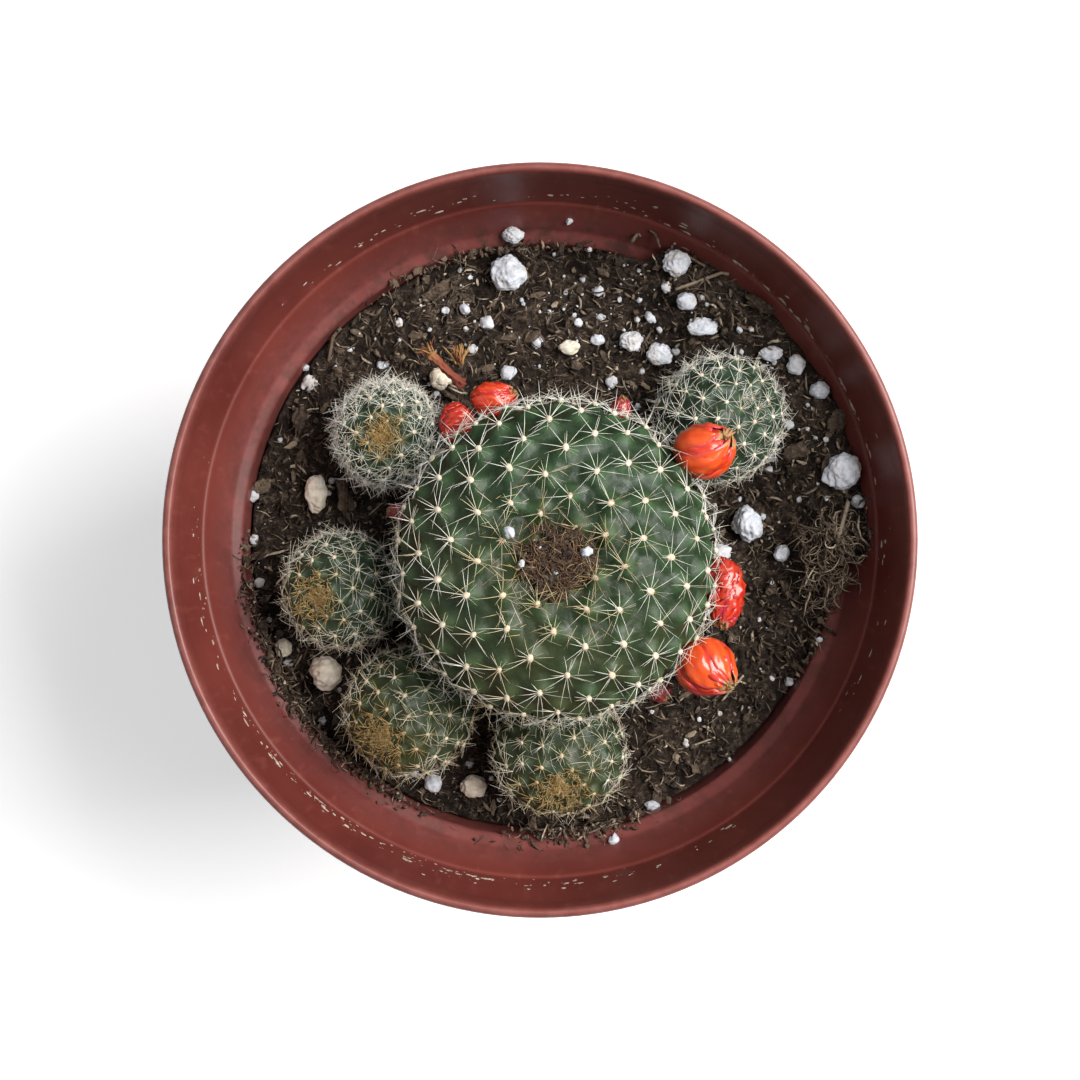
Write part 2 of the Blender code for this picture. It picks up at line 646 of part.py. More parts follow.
def withered_body(draw):
    """Shrivelled flower tube that widens into a torn tip."""
    path = [Vector(point) for point in WITHERED_PATH]
    rings = []
    for i, (middle, radius) in enumerate(zip(path, WITHERED_RADII)):
        along = (path[min(i + 1, len(path) - 1)] - path[max(i - 1, 0)]).normalized()
        rings.append(tube_ring(middle, along, radius, 7, draw))
        if i + 1 < len(path):
            half_way = middle.lerp(path[i + 1], 0.5)
            rings.append(tube_ring(half_way, along, radius * 1.1, 7, draw))
    along = (path[-1] - path[-2]).normalized()
    for i in range(0, 7, 2):
        rings[-1][i] += along * 1.3
    return skin(path[0] - along * 0.4, rings, path[-1] - along * 0.3)


def stone_body(place, size, turn, draw):
    """Angular grain: the hull of points strewn over an ellipsoid."""
    shape = bmesh.new()
    spin = Matrix.Rotation(math.radians(turn), 3, "Z")
    for i in range(STONE_CORNERS):
        polar = math.acos(1.0 - 2.0 * (i + 0.5) / STONE_CORNERS)
        direction = unit(polar, i * GOLDEN_ANGLE + draw.uniform(-0.3, 0.3))
        half = Vector(size) / 2.0 * draw.uniform(0.94, 1.1)
        offset = spin @ Vector((direction.x * half.x, direction.y * half.y, direction.z * half.z))
        shape.verts.new(offset + Vector((*place, 0.0)))
    bmesh.ops.convex_hull(shape, input=shape.verts)
    loose = [vert for vert in shape.verts if not vert.link_faces]
    bmesh.ops.delete(shape, geom=loose, context="VERTS")
    shape.verts.index_update()
    verts = [vert.co.copy() for vert in shape.verts]
    faces = [tuple(vert.index for vert in face.verts) for face in shape.faces]
    shape.free()
    return verts, faces


def dropped(body, grounds):
    """The body, let down until its lowest point is one gap above what lies under it."""
    verts, faces = body
    lift = 0.0
    for point in verts:
        above = Vector((point.x, point.y, POT_HEIGHT * 2.0))
        for ground in grounds:
            hit = ground.ray_cast(above, -UP)[0]
            if hit:
                lift = max(lift, hit.z - point.z + SEAT + 0.05)
    return [point + UP * lift for point in verts], faces


def moved(body, shift):
    verts, faces = body
    return [point + shift for point in verts], faces


def too_near(body, tree, others):
    """Whether a body comes closer than a gap to any of the others, each given as body and tree."""
    for other, other_tree in others:
        if tree.overlap(other_tree):
            return True
        if any(other_tree.find_nearest(point, SEAT)[0] is not None for point in body[0]):
            return True
        if any(tree.find_nearest(point, SEAT)[0] is not None for point in other[0]):
            return True
    return False


def seated(body, others):
    """The body, moved level away from the main head's axis until it only just clears what is beside it."""
    middle = sum(body[0], Vector()) / len(body[0])
    away = (middle - HEADS[0].centre) * Vector((1.0, 1.0, 0.0))
    away.normalize()
    for tenth in range(-20, 60):
        resting = moved(body, away * tenth * 0.1)
        if not too_near(resting, BVHTree.FromPolygons(*resting), others):
            break
    return resting


def litter_body(head, draw):
    """Clump of peat in the sunken crown, a gap above the areoles under it."""
    x, y = LITTER_PLACE
    base = Vector((x, y, crown_height(head, x, y) + LITTER_SEAT))
    wobbles = [draw.uniform(0.82, 1.08) for _ in range(LITTER_SIDES)]
    under, over = [], []
    for share in (1.0, 0.62, 0.3):
        lower, upper = [], []
        for i, wobble in enumerate(wobbles):
            turn = 2.0 * math.pi * i / LITTER_SIDES
            reach = wobble * share
            x = base.x + LITTER_RADII[0] * reach * math.cos(turn)
            y = base.y + LITTER_RADII[1] * reach * math.sin(turn)
            lower.append(Vector((x, y, crown_height(head, x, y) + LITTER_SEAT)))
            rise = LITTER_HEIGHT * (1.0 - 0.75 * share ** 2) * draw.uniform(0.7, 1.1)
            upper.append(lower[-1] + UP * max(rise, 0.5))
        under.append(lower)
        over.append(upper)
    return skin(base, under[::-1] + over, base + UP * LITTER_HEIGHT)


def crown_height(head, x, y):
    """Height of the smooth crown over a place."""
    away = math.hypot(x - head.centre.x, y - head.centre.y)
    low, high = 0.0, math.pi / 2.0
    for _ in range(30):
        middle = (low + high) / 2.0
        if head.section(middle)[0] < away:
            low = middle
        else:
            high = middle
    return head.centre.z + head.section(low)[1]


def build():
    clear_scene()
    trees = {}
    pot = add_pot()
    trees["pot"] = BVHTree.FromPolygons(*pot)
    soil = soil_body()
    trees["soil"] = BVHTree.FromPolygons(*soil)
    balls = bud_balls()
    bodies = {head.name: head_body(head, balls) for head in HEADS}
    for name, (verts, faces, _) in bodies.items():
        trees[name] = BVHTree.FromPolygons(verts, faces)

    beside = [(body[:2], trees[name]) for name, body in bodies.items()]
    for number, (name, centre, axis, length, radius, lobes, colour) in enumerate(BUDS):
        bud = bud_body(centre, axis, length, radius, lobes, random.Random(200 + number))
        verts, faces = seated(bud, beside)
        trees[name] = BVHTree.FromPolygons(verts, faces)
        beside.append(((verts, faces), trees[name]))
        slot = "fresh_tepals" if colour is ORANGE_RED else "dark_tepals"
        add_object(name, verts, faces, principled(slot, colour, 0.4), 60.0)

    verts, faces = seated(withered_body(random.Random(31)), beside)
    trees["withered_flower"] = BVHTree.FromPolygons(verts, faces)
    add_object("withered_flower", verts, faces, principled("dry_flower", DRY_FLOWER, 0.8))

    verts, faces = litter_body(HEADS[0], random.Random(5))
    trees["crown_litter"] = BVHTree.FromPolygons(verts, faces)
    add_object("crown_litter", verts, faces, principled("peat", PEAT, 0.95))

    for number, (name, place, size, turn, colour) in enumerate(STONES + (SHELF_STONE,)):
        stone = stone_body(place, size, turn, random.Random(300 + number))
        verts, faces = dropped(stone, (trees["soil"], trees["pot"]))
        trees[name] = BVHTree.FromPolygons(verts, faces)
        slot = "perlite" if colour is PERLITE_WHITE else "pebble"
        add_object(name, verts, faces, principled(slot, colour, 0.85), 20.0)

    earth = add_object("soil", *soil, principled("peat", PEAT, 0.95), 20.0)
    cut(earth, [socket_cutter(head) for head in HEADS])
    corners = [vert.co / MM for vert in earth.data.vertices]
    trees["soil"] = BVHTree.FromPolygons(corners, [tuple(face.vertices) for face in earth.data.polygons])

    for number, head in enumerate(HEADS):
        others = [tree for name, tree in trees.items() if name != head.name]
        verts, faces = grow_spines(head, bodies[head.name], others, random.Random(50 + number))
        trees[head.name] = BVHTree.FromPolygons(verts, faces)
        main = head is HEADS[0]
        slot, colour = ("main_skin", HEAD_GREEN) if main else ("offset_skin", OFFSET_GREEN)
        add_object(head.name, verts, faces, principled(slot, colour, 0.5), 25.0)


build()
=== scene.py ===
import json
import math
import random

import bmesh
import bpy
import numpy as np
from mathutils import Matrix, Vector, noise


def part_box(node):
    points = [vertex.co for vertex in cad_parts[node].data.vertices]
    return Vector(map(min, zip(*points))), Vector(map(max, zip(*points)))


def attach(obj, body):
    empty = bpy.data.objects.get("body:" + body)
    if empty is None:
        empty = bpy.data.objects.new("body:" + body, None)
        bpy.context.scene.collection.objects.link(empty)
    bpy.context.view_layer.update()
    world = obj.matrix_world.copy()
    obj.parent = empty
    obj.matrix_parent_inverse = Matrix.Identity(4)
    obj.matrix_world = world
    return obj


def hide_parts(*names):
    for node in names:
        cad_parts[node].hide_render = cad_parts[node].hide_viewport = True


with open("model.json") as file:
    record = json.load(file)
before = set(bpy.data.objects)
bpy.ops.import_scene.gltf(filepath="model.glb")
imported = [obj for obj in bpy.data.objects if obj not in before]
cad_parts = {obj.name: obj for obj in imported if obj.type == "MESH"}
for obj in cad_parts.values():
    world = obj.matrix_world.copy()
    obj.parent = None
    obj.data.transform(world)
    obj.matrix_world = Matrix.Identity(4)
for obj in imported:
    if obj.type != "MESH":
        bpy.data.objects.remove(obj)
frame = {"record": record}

MM = 0.001
GOLDEN_ANGLE = math.radians(137.508)
PIXELS_PER_MM = 7.22  # at the rim, in the photograph's 1080 by 1080 frame
PHOTO_MIDDLE = 540.4
CAMERA_OVER_RIM = 280.0
POT_HEIGHT = 85.0
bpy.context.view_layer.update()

# name, centre, radius, width factor, height above, height below, lean direction, lean, stem radius,
# stem length, crown sink, its width; as in the solids
HEADS = (
    ("main_head", (2.2, -2.8, 81.5), 22.3, 1.0, 14.8, 18.0, 90, 2, 8.5, 13.0, 3.6, 7.5),
    ("offset_upper_left", (-22.0, 15.3, 72.2), 7.4, 1.0, 8.0, 8.5, 240, 4, 3.6, 9.0, 1.2, 2.2),
    ("offset_upper_right", (25.9, 17.4, 70.6), 9.2, 0.95, 9.2, 9.4, 33, 33, 4.2, 9.0, 0.8, 2.4),
    ("offset_left", (-28.6, -7.2, 71.6), 7.9, 1.03, 8.4, 8.6, 197, 24, 3.8, 9.0, 1.0, 2.4),
    ("offset_lower_left", (-18.9, -24.8, 71.4), 8.4, 1.08, 8.8, 9.0, 222, 36, 4.2, 9.0, 1.0, 2.6),
    ("offset_bottom", (2.8, -31.0, 70.4), 8.0, 1.18, 8.6, 8.8, 272, 34, 4.2, 9.0, 1.0, 2.6),
)


# ---------------------------------------------------------------- meshes

def wrapped(rows, columns):
    """Triangles between rows of points that each close to a ring."""
    row = np.arange(rows - 1)[:, None] * columns
    here = row + np.arange(columns)[None, :]
    beside = row + (np.arange(columns)[None, :] + 1) % columns
    lower = np.stack([here, beside, beside + columns], -1)
    upper = np.stack([here, beside + columns, here + columns], -1)
    return np.stack([lower, upper], 2).reshape(-1, 3)


def closed_grid(rows, columns):
    """Triangles of a closed body: a point, rings, and a point."""
    here = np.arange(columns)
    beside = (here + 1) % columns
    last = 1 + (rows - 1) * columns
    start = np.stack([np.zeros_like(here), 1 + beside, 1 + here], -1)
    end = np.stack([last + here, last + beside, np.full_like(here, 1 + rows * columns)], -1)
    return np.concatenate([start, wrapped(rows, columns) + 1, end])


def piece(name, verts, faces, material, replaces=(), slot=None, values=None, sharp=None):
    """A mesh that rides on the part, from points in millimetres and triangles."""
    mesh = bpy.data.meshes.new(name)
    verts = np.asarray(verts, np.float32) * MM
    faces = np.asarray(faces, np.int32)
    mesh.vertices.add(len(verts))
    mesh.vertices.foreach_set("co", verts.ravel())
    mesh.loops.add(faces.size)
    mesh.loops.foreach_set("vertex_index", faces.ravel())
    mesh.polygons.add(len(faces))
    mesh.polygons.foreach_set("loop_start", np.arange(0, faces.size, 3, dtype=np.int32))
    mesh.update(calc_edges=True)
    for key, numbers in (values or {}).items():
        mesh.attributes.new(key, "FLOAT", "POINT").data.foreach_set("value", np.asarray(numbers, np.float32))
    shape = bmesh.new()
    shape.from_mesh(mesh)
    bmesh.ops.recalc_face_normals(shape, faces=shape.faces)
    shape.to_mesh(mesh)
    shape.free()
    mesh.shade_smooth()
    if sharp:
        mesh.set_sharp_from_angle(angle=math.radians(sharp))
    mesh.materials.append(material)
    item = bpy.data.objects.new(name, mesh)
    bpy.context.scene.collection.objects.link(item)
    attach(item, "root")
    if replaces:
        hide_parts(*replaces)
    return item


class Heap:
    """Many small bodies gathered in one mesh, with a value or more for each of their points."""

    def __init__(self):
        self.verts, self.faces, self.values, self.count = [], [], {}, 0

    def add(self, verts, faces, **values):
        self.verts.append(np.asarray(verts, float))
        self.faces.append(np.asarray(faces) + self.count)
        self.count += len(verts)
        for key, value in values.items():
            self.values.setdefault(key, []).append(np.broadcast_to(np.asarray(value, float), (len(verts),)))

    def made(self, name, material, **more):
        values = {key: np.concatenate(parts) for key, parts in self.values.items()}
        return piece(name, np.concatenate(self.verts), np.concatenate(self.faces), material, values=values, **more)


def unit(vectors):
    return vectors / np.maximum(np.linalg.norm(vectors, axis=-1, keepdims=True), 1e-9)


def strands(paths, radii, sides=3, flat=1.0):
    """Thin closed tubes along paths of equally many points; flat under 1 makes ribbons."""
    paths = np.asarray(paths, float)
    count, steps, _ = paths.shape
    tangent = unit(np.gradient(paths, axis=1))
    up = np.where(np.abs(tangent[:, :1, 2:3]) < 0.85, (0.0, 0.0, 1.0), (1.0, 0.0, 0.0))
    side = unit(np.cross(tangent, np.broadcast_to(up, tangent.shape)))
    ahead = np.cross(tangent, side) * flat
    turn = 2.0 * math.pi * np.arange(sides) / sides
    around = np.cos(turn)[:, None] * side[:, :, None] + np.sin(turn)[:, None] * ahead[:, :, None]
    rings = paths[:, :, None] + np.asarray(radii)[:, :, None, None] * around
    fans = [(0, i + 1, i) for i in range(1, sides - 1)]
    last = (steps - 1) * sides
    fans += [(last, last + i, last + i + 1) for i in range(1, sides - 1)]
    one = np.concatenate([wrapped(steps, sides), np.array(fans)])
    faces = one[None] + (np.arange(count) * steps * sides)[:, None, None]
    return rings.reshape(-1, 3), faces.reshape(-1, 3)


def ico(level):
    """Points and triangles of a unit ball."""
    shape = bmesh.new()
    bmesh.ops.create_icosphere(shape, subdivisions=level, radius=1.0)
    verts = np.array([vert.co[:] for vert in shape.verts])
    faces = np.array([[vert.index for vert in face.verts] for face in shape.faces])
    shape.free()
    return verts, faces


BALLS = {level: ico(level) for level in (1, 2, 3, 4, 5)}


def lump(level, seed, rough, grain=1.7):
    """A ball made uneven by noise."""
    verts, faces = BALLS[level]
    shift = Vector((seed * 3.1, seed * 1.7, seed * 0.9))
    swell = []
    for point in verts:
        place = Vector(point)
        coarse = noise.noise(place * grain + shift)
        fine = noise.noise(place * grain * 2.7 + shift)
        swell.append(1.0 + rough * (coarse + 0.45 * fine))
    return verts * np.array(swell)[:, None], faces


def turned(verts, draw, tilt=math.pi):
    """Points turned at random about the vertical, and tilted."""
    spin = Matrix.Rotation(draw.uniform(0, 2 * math.pi), 3, "Z")
    lean = Matrix.Rotation(draw.uniform(-tilt, tilt), 3, Vector((draw.gauss(0, 1), draw.gauss(0, 1), 0.001)))
    return verts @ np.array(lean @ spin).T


def at_pixel(x, y, height):
    """Where a point of the photograph lies at a height in millimetres."""
    scale = PIXELS_PER_MM * CAMERA_OVER_RIM / (CAMERA_OVER_RIM + POT_HEIGHT - height)
    return (x - PHOTO_MIDDLE) / scale, (PHOTO_MIDDLE - y) / scale


# ---------------------------------------------------------------- materials

class Look:
    """A procedural material, built up node by node."""

    def __init__(self, name, roughness=0.6, **settings):
        self.material = bpy.data.materials.new(name)
        self.material.use_nodes = True
        self.nodes = self.material.node_tree.nodes
        self.links = self.material.node_tree.links
        self.shader = self.nodes["Principled BSDF"]
        self.shader.inputs["Roughness"].default_value = roughness
        for key, value in settings.items():
            self.shader.inputs[key.replace("_", " ")].default_value = value
        self.place = self.nodes.new("ShaderNodeTexCoord").outputs["Object"]

    def feed(self, socket, value):
        if isinstance(value, bpy.types.NodeSocket):
            self.links.new(value, socket)
        else:
            socket.default_value = value

    def value(self, name):
        node = self.nodes.new("ShaderNodeAttribute")
        node.attribute_name = name
        return node.outputs["Fac"]

    def noise(self, scale, detail=4.0, roughness=0.55, stretch=None, distortion=0.0):
        node = self.nodes.new("ShaderNodeTexNoise")
        place = self.place
        if stretch:
            mapping = self.nodes.new("ShaderNodeMapping")
            mapping.inputs["Scale"].default_value = stretch
            self.links.new(place, mapping.inputs["Vector"])
            place = mapping.outputs["Vector"]
        self.links.new(place, node.inputs["Vector"])
        node.inputs["Scale"].default_value = scale
        node.inputs["Detail"].default_value = detail
        node.inputs["Roughness"].default_value = roughness
        node.inputs["Distortion"].default_value = distortion
        return node.outputs["Fac"]

    def cells(self, scale, feature="F1"):
        node = self.nodes.new("ShaderNodeTexVoronoi")
        node.feature = feature
        self.links.new(self.place, node.inputs["Vector"])
        node.inputs["Scale"].default_value = scale
        return node.outputs["Distance"]

    def sum(self, operation, first, second):
        node = self.nodes.new("ShaderNodeMath")
        node.operation = operation
        self.feed(node.inputs[0], first)
        self.feed(node.inputs[1], second)
        return node.outputs[0]

    def spread(self, value, low, high, to_low=0.0, to_high=1.0):
        node = self.nodes.new("ShaderNodeMapRange")
        node.interpolation_type = "SMOOTHSTEP"
        self.links.new(value, node.inputs["Value"])
        for key, number in zip(("From Min", "From Max", "To Min", "To Max"), (low, high, to_low, to_high)):
            node.inputs[key].default_value = number
        return node.outputs["Result"]

    def ramp(self, value, *stops):
        node = self.nodes.new("ShaderNodeValToRGB")
        self.links.new(value, node.inputs["Fac"])
        elements = node.color_ramp.elements
        while len(elements) < len(stops):
            elements.new(1.0)
        for element, (place, colour) in zip(elements, stops):
            element.position = place
            element.color = (*colour, 1.0)
        return node.outputs["Color"]

    def mix(self, share, first, second, blend="MIX"):
        node = self.nodes.new("ShaderNodeMix")
        node.data_type = "RGBA"
        node.blend_type = blend
        self.feed(node.inputs[0], share)
        for socket, value in zip((node.inputs[6], node.inputs[7]), (first, second)):
            self.feed(socket, (*value, 1.0) if isinstance(value, tuple) else value)
        return node.outputs[2]

    def finish(self, colour, roughness=None, bumps=()):
        self.links.new(colour, self.shader.inputs["Base Color"])
        if roughness is not None:
            self.links.new(roughness, self.shader.inputs["Roughness"])
        normal = None
        for height, strength, distance in bumps:
            node = self.nodes.new("ShaderNodeBump")
            node.inputs["Strength"].default_value = strength
            node.inputs["Distance"].default_value = distance * MM
            self.links.new(height, node.inputs["Height"])
            if normal:
                self.links.new(normal, node.inputs["Normal"])
            normal = node.outputs["Normal"]
        if normal:
            self.links.new(normal, self.shader.inputs["Normal"])
        return self.material


def pot_look():
    look = Look("pot_plastic", 0.42, Specular_IOR_Level=0.45)
    tint = look.noise(60.0, 3.0)
    colour = look.ramp(tint, (0.3, (0.108, 0.02, 0.0155)), (0.75, (0.158, 0.033, 0.025)))
    worn = look.spread(look.noise(700.0, 2.0, stretch=(1.0, 1.0, 0.15)), 0.55, 0.8)
    colour = look.mix(look.sum("MULTIPLY", worn, 0.25), colour, (0.26, 0.08, 0.065))
    # painted light: the band below the crease, down to the soil, is made lighter and pinker
    painted_shelf_light = look.sum("MULTIPLY", look.value("painted_shelf_light"), look.spread(look.noise(260.0, 5.0, 0.65), 0.25, 0.75, 0.55, 1.0))
    colour = look.mix(look.sum("MULTIPLY", painted_shelf_light, 0.2), colour, (0.3, 0.12, 0.125))
    edge = look.sum("MULTIPLY", look.value("rim"), look.spread(look.noise(420.0, 4.0), 0.3, 0.7, 0.35, 1.0))
    colour = look.mix(look.sum("MULTIPLY", edge, 0.5), colour, (0.32, 0.11, 0.095))
    # soil dirt and painted shade: darker near the soil line, most at the upper right
    dirt_and_shade = look.sum("MULTIPLY", look.value("dirt_and_shade"), look.spread(look.noise(320.0, 6.0, 0.7), 0.42, 0.62))
    colour = look.mix(dirt_and_shade, colour, (0.05, 0.024, 0.018))
    flecks = look.sum("ADD", look.noise(820.0, 6.0, 0.75, distortion=0.6), look.value("crust"))
    crust = look.spread(flecks, 0.87, 0.96)
    colour = look.mix(look.sum("MULTIPLY", crust, 0.7), colour, (0.42, 0.34, 0.29))
    rough = look.spread(look.noise(240.0, 3.0), 0.3, 0.7, 0.39, 0.45)
    fine = look.noise(1500.0, 2.0)
    return look.finish(colour, rough, ((fine, 0.05, 0.1), (crust, 0.7, 0.25)))


def flesh_look(name, tops, bottoms, frost_and_highlight):
    look = Look(name, 0.5, Specular_IOR_Level=0.4, Subsurface_Weight=0.12, Subsurface_Scale=0.002)
    look.shader.inputs["Subsurface Radius"].default_value = (0.5, 1.0, 0.3)
    mottle = look.noise(330.0, 5.0, 0.62)
    body = look.ramp(mottle, (0.32, bottoms), (0.7, tops))
    # painted shade: darker in the grooves between the tubercles
    shade = look.spread(look.value("groove"), 0.0, 0.75, 0.85, 0.0)
    body = look.mix(shade, body, tuple(0.42 * part for part in bottoms))
    # painted shade: darker olive on the side of each tubercle away from the crown
    olive = look.sum("MULTIPLY", look.spread(look.value("side"), 0.0, 0.9, 0.0, 0.8),
                     look.spread(look.noise(210.0, 3.0), 0.35, 0.65, 0.2, 1.0))
    body = look.mix(olive, body, (0.034, 0.058, 0.01))
    # frosty bloom, kept to the crown side of each tubercle as a painted highlight
    frost = look.spread(look.noise(420.0, 6.0, 0.75), 0.46, 0.74, 0.0, 0.32)
    upper_side_highlight = look.sum("MULTIPLY", frost, look.spread(look.value("side"), 0.5, -0.5))
    body = look.mix(upper_side_highlight, body, frost_and_highlight)
    aged = look.sum("MULTIPLY", look.value("age"), look.spread(look.noise(160.0, 4.0), 0.3, 0.7, 0.3, 0.9))
    body = look.mix(aged, body, (0.045, 0.046, 0.012))
    foot = look.spread(look.value("foot"), 0.35, 1.0)
    body = look.mix(foot, body, (0.09, 0.07, 0.03))
    pores = look.cells(2600.0)
    rough = look.spread(mottle, 0.3, 0.7, 0.4, 0.6)
    return look.finish(body, rough, ((look.noise(650.0, 5.0, 0.65), 0.4, 0.3), (pores, 0.25, 0.06)))


def felt_look():
    look = Look("areole_felt", 0.95, Sheen_Weight=0.4)
    colour = look.ramp(look.noise(1500.0, 4.0), (0.3, (0.52, 0.41, 0.27)), (0.65, (0.78, 0.7, 0.56)))
    brown = look.spread(look.value("side"), 0.1, 0.9, 0.0, 0.75)
    colour = look.mix(brown, colour, (0.5, 0.27, 0.1))
    colour = look.mix(look.value("tone"), colour, (0.28, 0.18, 0.05))
    return look.finish(colour, None, ((look.noise(3500.0, 3.0), 0.8, 0.12),))


def spine_look():
    look = Look("spine", 0.45, Specular_IOR_Level=0.4)
    tone = look.value("tone")
    colour = look.ramp(tone, (0.0, (0.78, 0.79, 0.75)), (0.3, (0.68, 0.61, 0.44)), (0.6, (0.52, 0.38, 0.15)),
                       (1.0, (0.3, 0.16, 0.045)))
    along = look.spread(look.noise(1300.0, 2.0), 0.35, 0.7, 0.0, 0.22)
    colour = look.mix(along, colour, (0.6, 0.45, 0.25))
    return look.finish(colour, None, ((look.noise(4000.0, 1.0), 0.2, 0.03),))


def tepal_look():
    look = Look("tepals", 0.3, Specular_IOR_Level=0.55, Subsurface_Weight=0.25, Subsurface_Scale=0.0015,
                Coat_Weight=0.15, Coat_Roughness=0.25)
    look.shader.inputs["Subsurface Radius"].default_value = (1.0, 0.3, 0.12)
    veins = look.spread(look.value("vein"), 0.25, 0.9)
    base = look.ramp(look.value("tone"), (0.0, (0.72, 0.07, 0.008)), (0.4, (0.56, 0.016, 0.008)),
                     (1.0, (0.16, 0.004, 0.012)))
    colour = look.mix(look.sum("MULTIPLY", veins, 0.16), base, (0.85, 0.2, 0.05))
    pink = look.spread(look.sum("ADD", look.value("edge"), look.noise(500.0, 3.0)), 1.12, 1.6, 0.0, 0.7)
    colour = look.mix(pink, colour, (0.5, 0.03, 0.1))
    dry = look.spread(look.sum("ADD", look.value("tip"), look.noise(900.0, 4.0)), 1.28, 1.48)
    colour = look.mix(dry, colour, (0.36, 0.2, 0.08))
    return look.finish(colour, look.spread(dry, 0.0, 1.0, 0.28, 0.8),
                       ((look.value("vein"), 0.35, 0.06), (look.noise(1200.0, 3.0), 0.35, 0.12)))


def dry_look():
    look = Look("dry_flower", 0.8)
    colour = look.ramp(look.value("tone"), (0.0, (0.11, 0.014, 0.01)), (0.5, (0.2, 0.045, 0.018)),
                       (1.0, (0.42, 0.28, 0.09)))
    dark = look.spread(look.noise(1100.0, 4.0), 0.5, 0.75, 0.0, 0.8)
    colour = look.mix(dark, colour, (0.1, 0.03, 0.015))
    return look.finish(colour, None, ((look.noise(1500.0, 3.0), 0.7, 0.2),))


def perlite_look():
    look = Look("perlite", 0.85, Subsurface_Weight=0.12, Subsurface_Scale=0.0008)
    look.shader.inputs["Subsurface Radius"].default_value = (0.8, 0.9, 1.0)
    grain = look.noise(900.0, 5.0, 0.7)
    colour = look.ramp(grain, (0.3, (0.3, 0.31, 0.34)), (0.48, (0.5, 0.52, 0.57)), (0.75, (0.68, 0.7, 0.76)))
    stain = look.spread(look.noise(330.0, 5.0, 0.65), 0.5, 0.7, 0.0, 0.6)
    colour = look.mix(stain, colour, (0.46, 0.37, 0.27))
    colour = look.mix(look.spread(look.value("tone"), 0.0, 1.0), colour, (0.5, 0.42, 0.32))
    return look.finish(colour, None, ((look.cells(1500.0), 0.3, 0.25), (grain, 0.5, 0.25)))


def pebble_look():
    look = Look("pebble", 0.75)
    colour = look.ramp(look.noise(420.0, 5.0, 0.65), (0.3, (0.42, 0.34, 0.24)), (0.5, (0.72, 0.64, 0.52)),
                       (0.75, (0.88, 0.84, 0.76)))
    bands = look.spread(look.noise(500.0, 3.0, stretch=(0.3, 2.2, 1.0)), 0.5, 0.75, 0.0, 0.5)
    colour = look.mix(bands, colour, (0.3, 0.24, 0.18))
    return look.finish(colour, None, ((look.noise(1200.0, 5.0, 0.7), 0.7, 0.25),))


def soil_look():
    look = Look("peat", 0.95, Specular_IOR_Level=0.2)
    crumbs = look.noise(900.0, 8.0, 0.82)
    colour = look.ramp(crumbs, (0.35, (0.009, 0.006, 0.005)), (0.5, (0.04, 0.027, 0.02)),
                       (0.6, (0.12, 0.086, 0.062)), (0.75, (0.3, 0.235, 0.175)))
    shred = look.spread(look.noise(1500.0, 4.0, 0.7, stretch=(0.25, 1.0, 1.0), distortion=1.5), 0.58, 0.7)
    colour = look.mix(look.sum("MULTIPLY", shred, 0.7), colour, (0.28, 0.21, 0.15))
    # painted shade: dark patches that stand for the shadows in the soil's hollows
    painted_hollow_shade = look.spread(look.noise(190.0, 4.0, 0.6), 0.4, 0.58, 0.7, 0.0)
    colour = look.mix(painted_hollow_shade, colour, (0.012, 0.008, 0.006))
    return look.finish(colour, None, ((crumbs, 1.0, 0.8), (look.cells(1100.0), 0.7, 0.4)))


def shred_look():
    look = Look("shreds", 0.9, Specular_IOR_Level=0.25)
    colour = look.ramp(look.value("tone"), (0.0, (0.01, 0.007, 0.005)), (0.35, (0.045, 0.03, 0.021)),
                       (0.65, (0.13, 0.093, 0.064)), (0.88, (0.32, 0.25, 0.18)), (1.0, (0.55, 0.46, 0.34)))
    light = look.spread(look.noise(1700.0, 5.0, 0.7), 0.45, 0.7, 0.0, 0.6)
    colour = look.mix(light, colour, (0.2, 0.155, 0.115))
    dark = look.spread(look.noise(1100.0, 5.0, 0.7), 0.5, 0.7, 0.0, 0.7)
    colour = look.mix(dark, colour, (0.018, 0.012, 0.009))
    return look.finish(colour, None, ((look.noise(2200.0, 4.0, 0.7), 1.0, 0.3),))


def floor_look():
    look = Look("floor", 0.7, Emission_Strength=0.4)
    look.shader.inputs["Emission Color"].default_value = (1.0, 1.0, 1.0, 1.0)
    tint = look.noise(3.0, 2.0)
    return look.finish(look.ramp(tint, (0.0, (0.86, 0.86, 0.86)), (1.0, (0.9, 0.9, 0.9))))


# ---------------------------------------------------------------- pot

def rounded(section, radius=0.5):
    """The section's corners, each rounded with a short curve."""
    points = []
    for i, corner in enumerate(section):
        here = np.array(corner)
        if i in (0, len(section) - 1):
            points.append(here)
            continue
        before, after = np.array(section[i - 1]), np.array(section[i + 1])
        reach_back = min(radius, 0.4 * np.linalg.norm(before - here))
        reach_on = min(radius, 0.4 * np.linalg.norm(after - here))
        start = here + (before - here) / np.linalg.norm(before - here) * reach_back
        end = here + (after - here) / np.linalg.norm(after - here) * reach_on
        for share in (0.0, 0.33, 0.67, 1.0):
            points.append(start * (1 - share) ** 2 + here * 2 * share * (1 - share) + end * share ** 2)
    return points


def drain_cutter(middle):
    heights, sides, radius = (-1.0, 6.0), 32, 3.0
    verts = [(middle[0], middle[1], heights[0])]
    for height in heights:
        for i in range(sides):
            turn = 2 * math.pi * i / sides
            verts.append((middle[0] + radius * math.cos(turn), middle[1] + radius * math.sin(turn), height))
    verts.append((middle[0], middle[1], heights[1]))
    mesh = bpy.data.meshes.new("cutter")
    faces = [tuple(int(corner) for corner in face) for face in closed_grid(2, sides)]
    mesh.from_pydata([tuple(part * MM for part in vert) for vert in verts], [], faces)
    shape = bmesh.new()
    shape.from_mesh(mesh)
    bmesh.ops.recalc_face_normals(shape, faces=shape.faces)
    shape.to_mesh(mesh)
    shape.free()
    return bpy.data.objects.new("cutter", mesh)


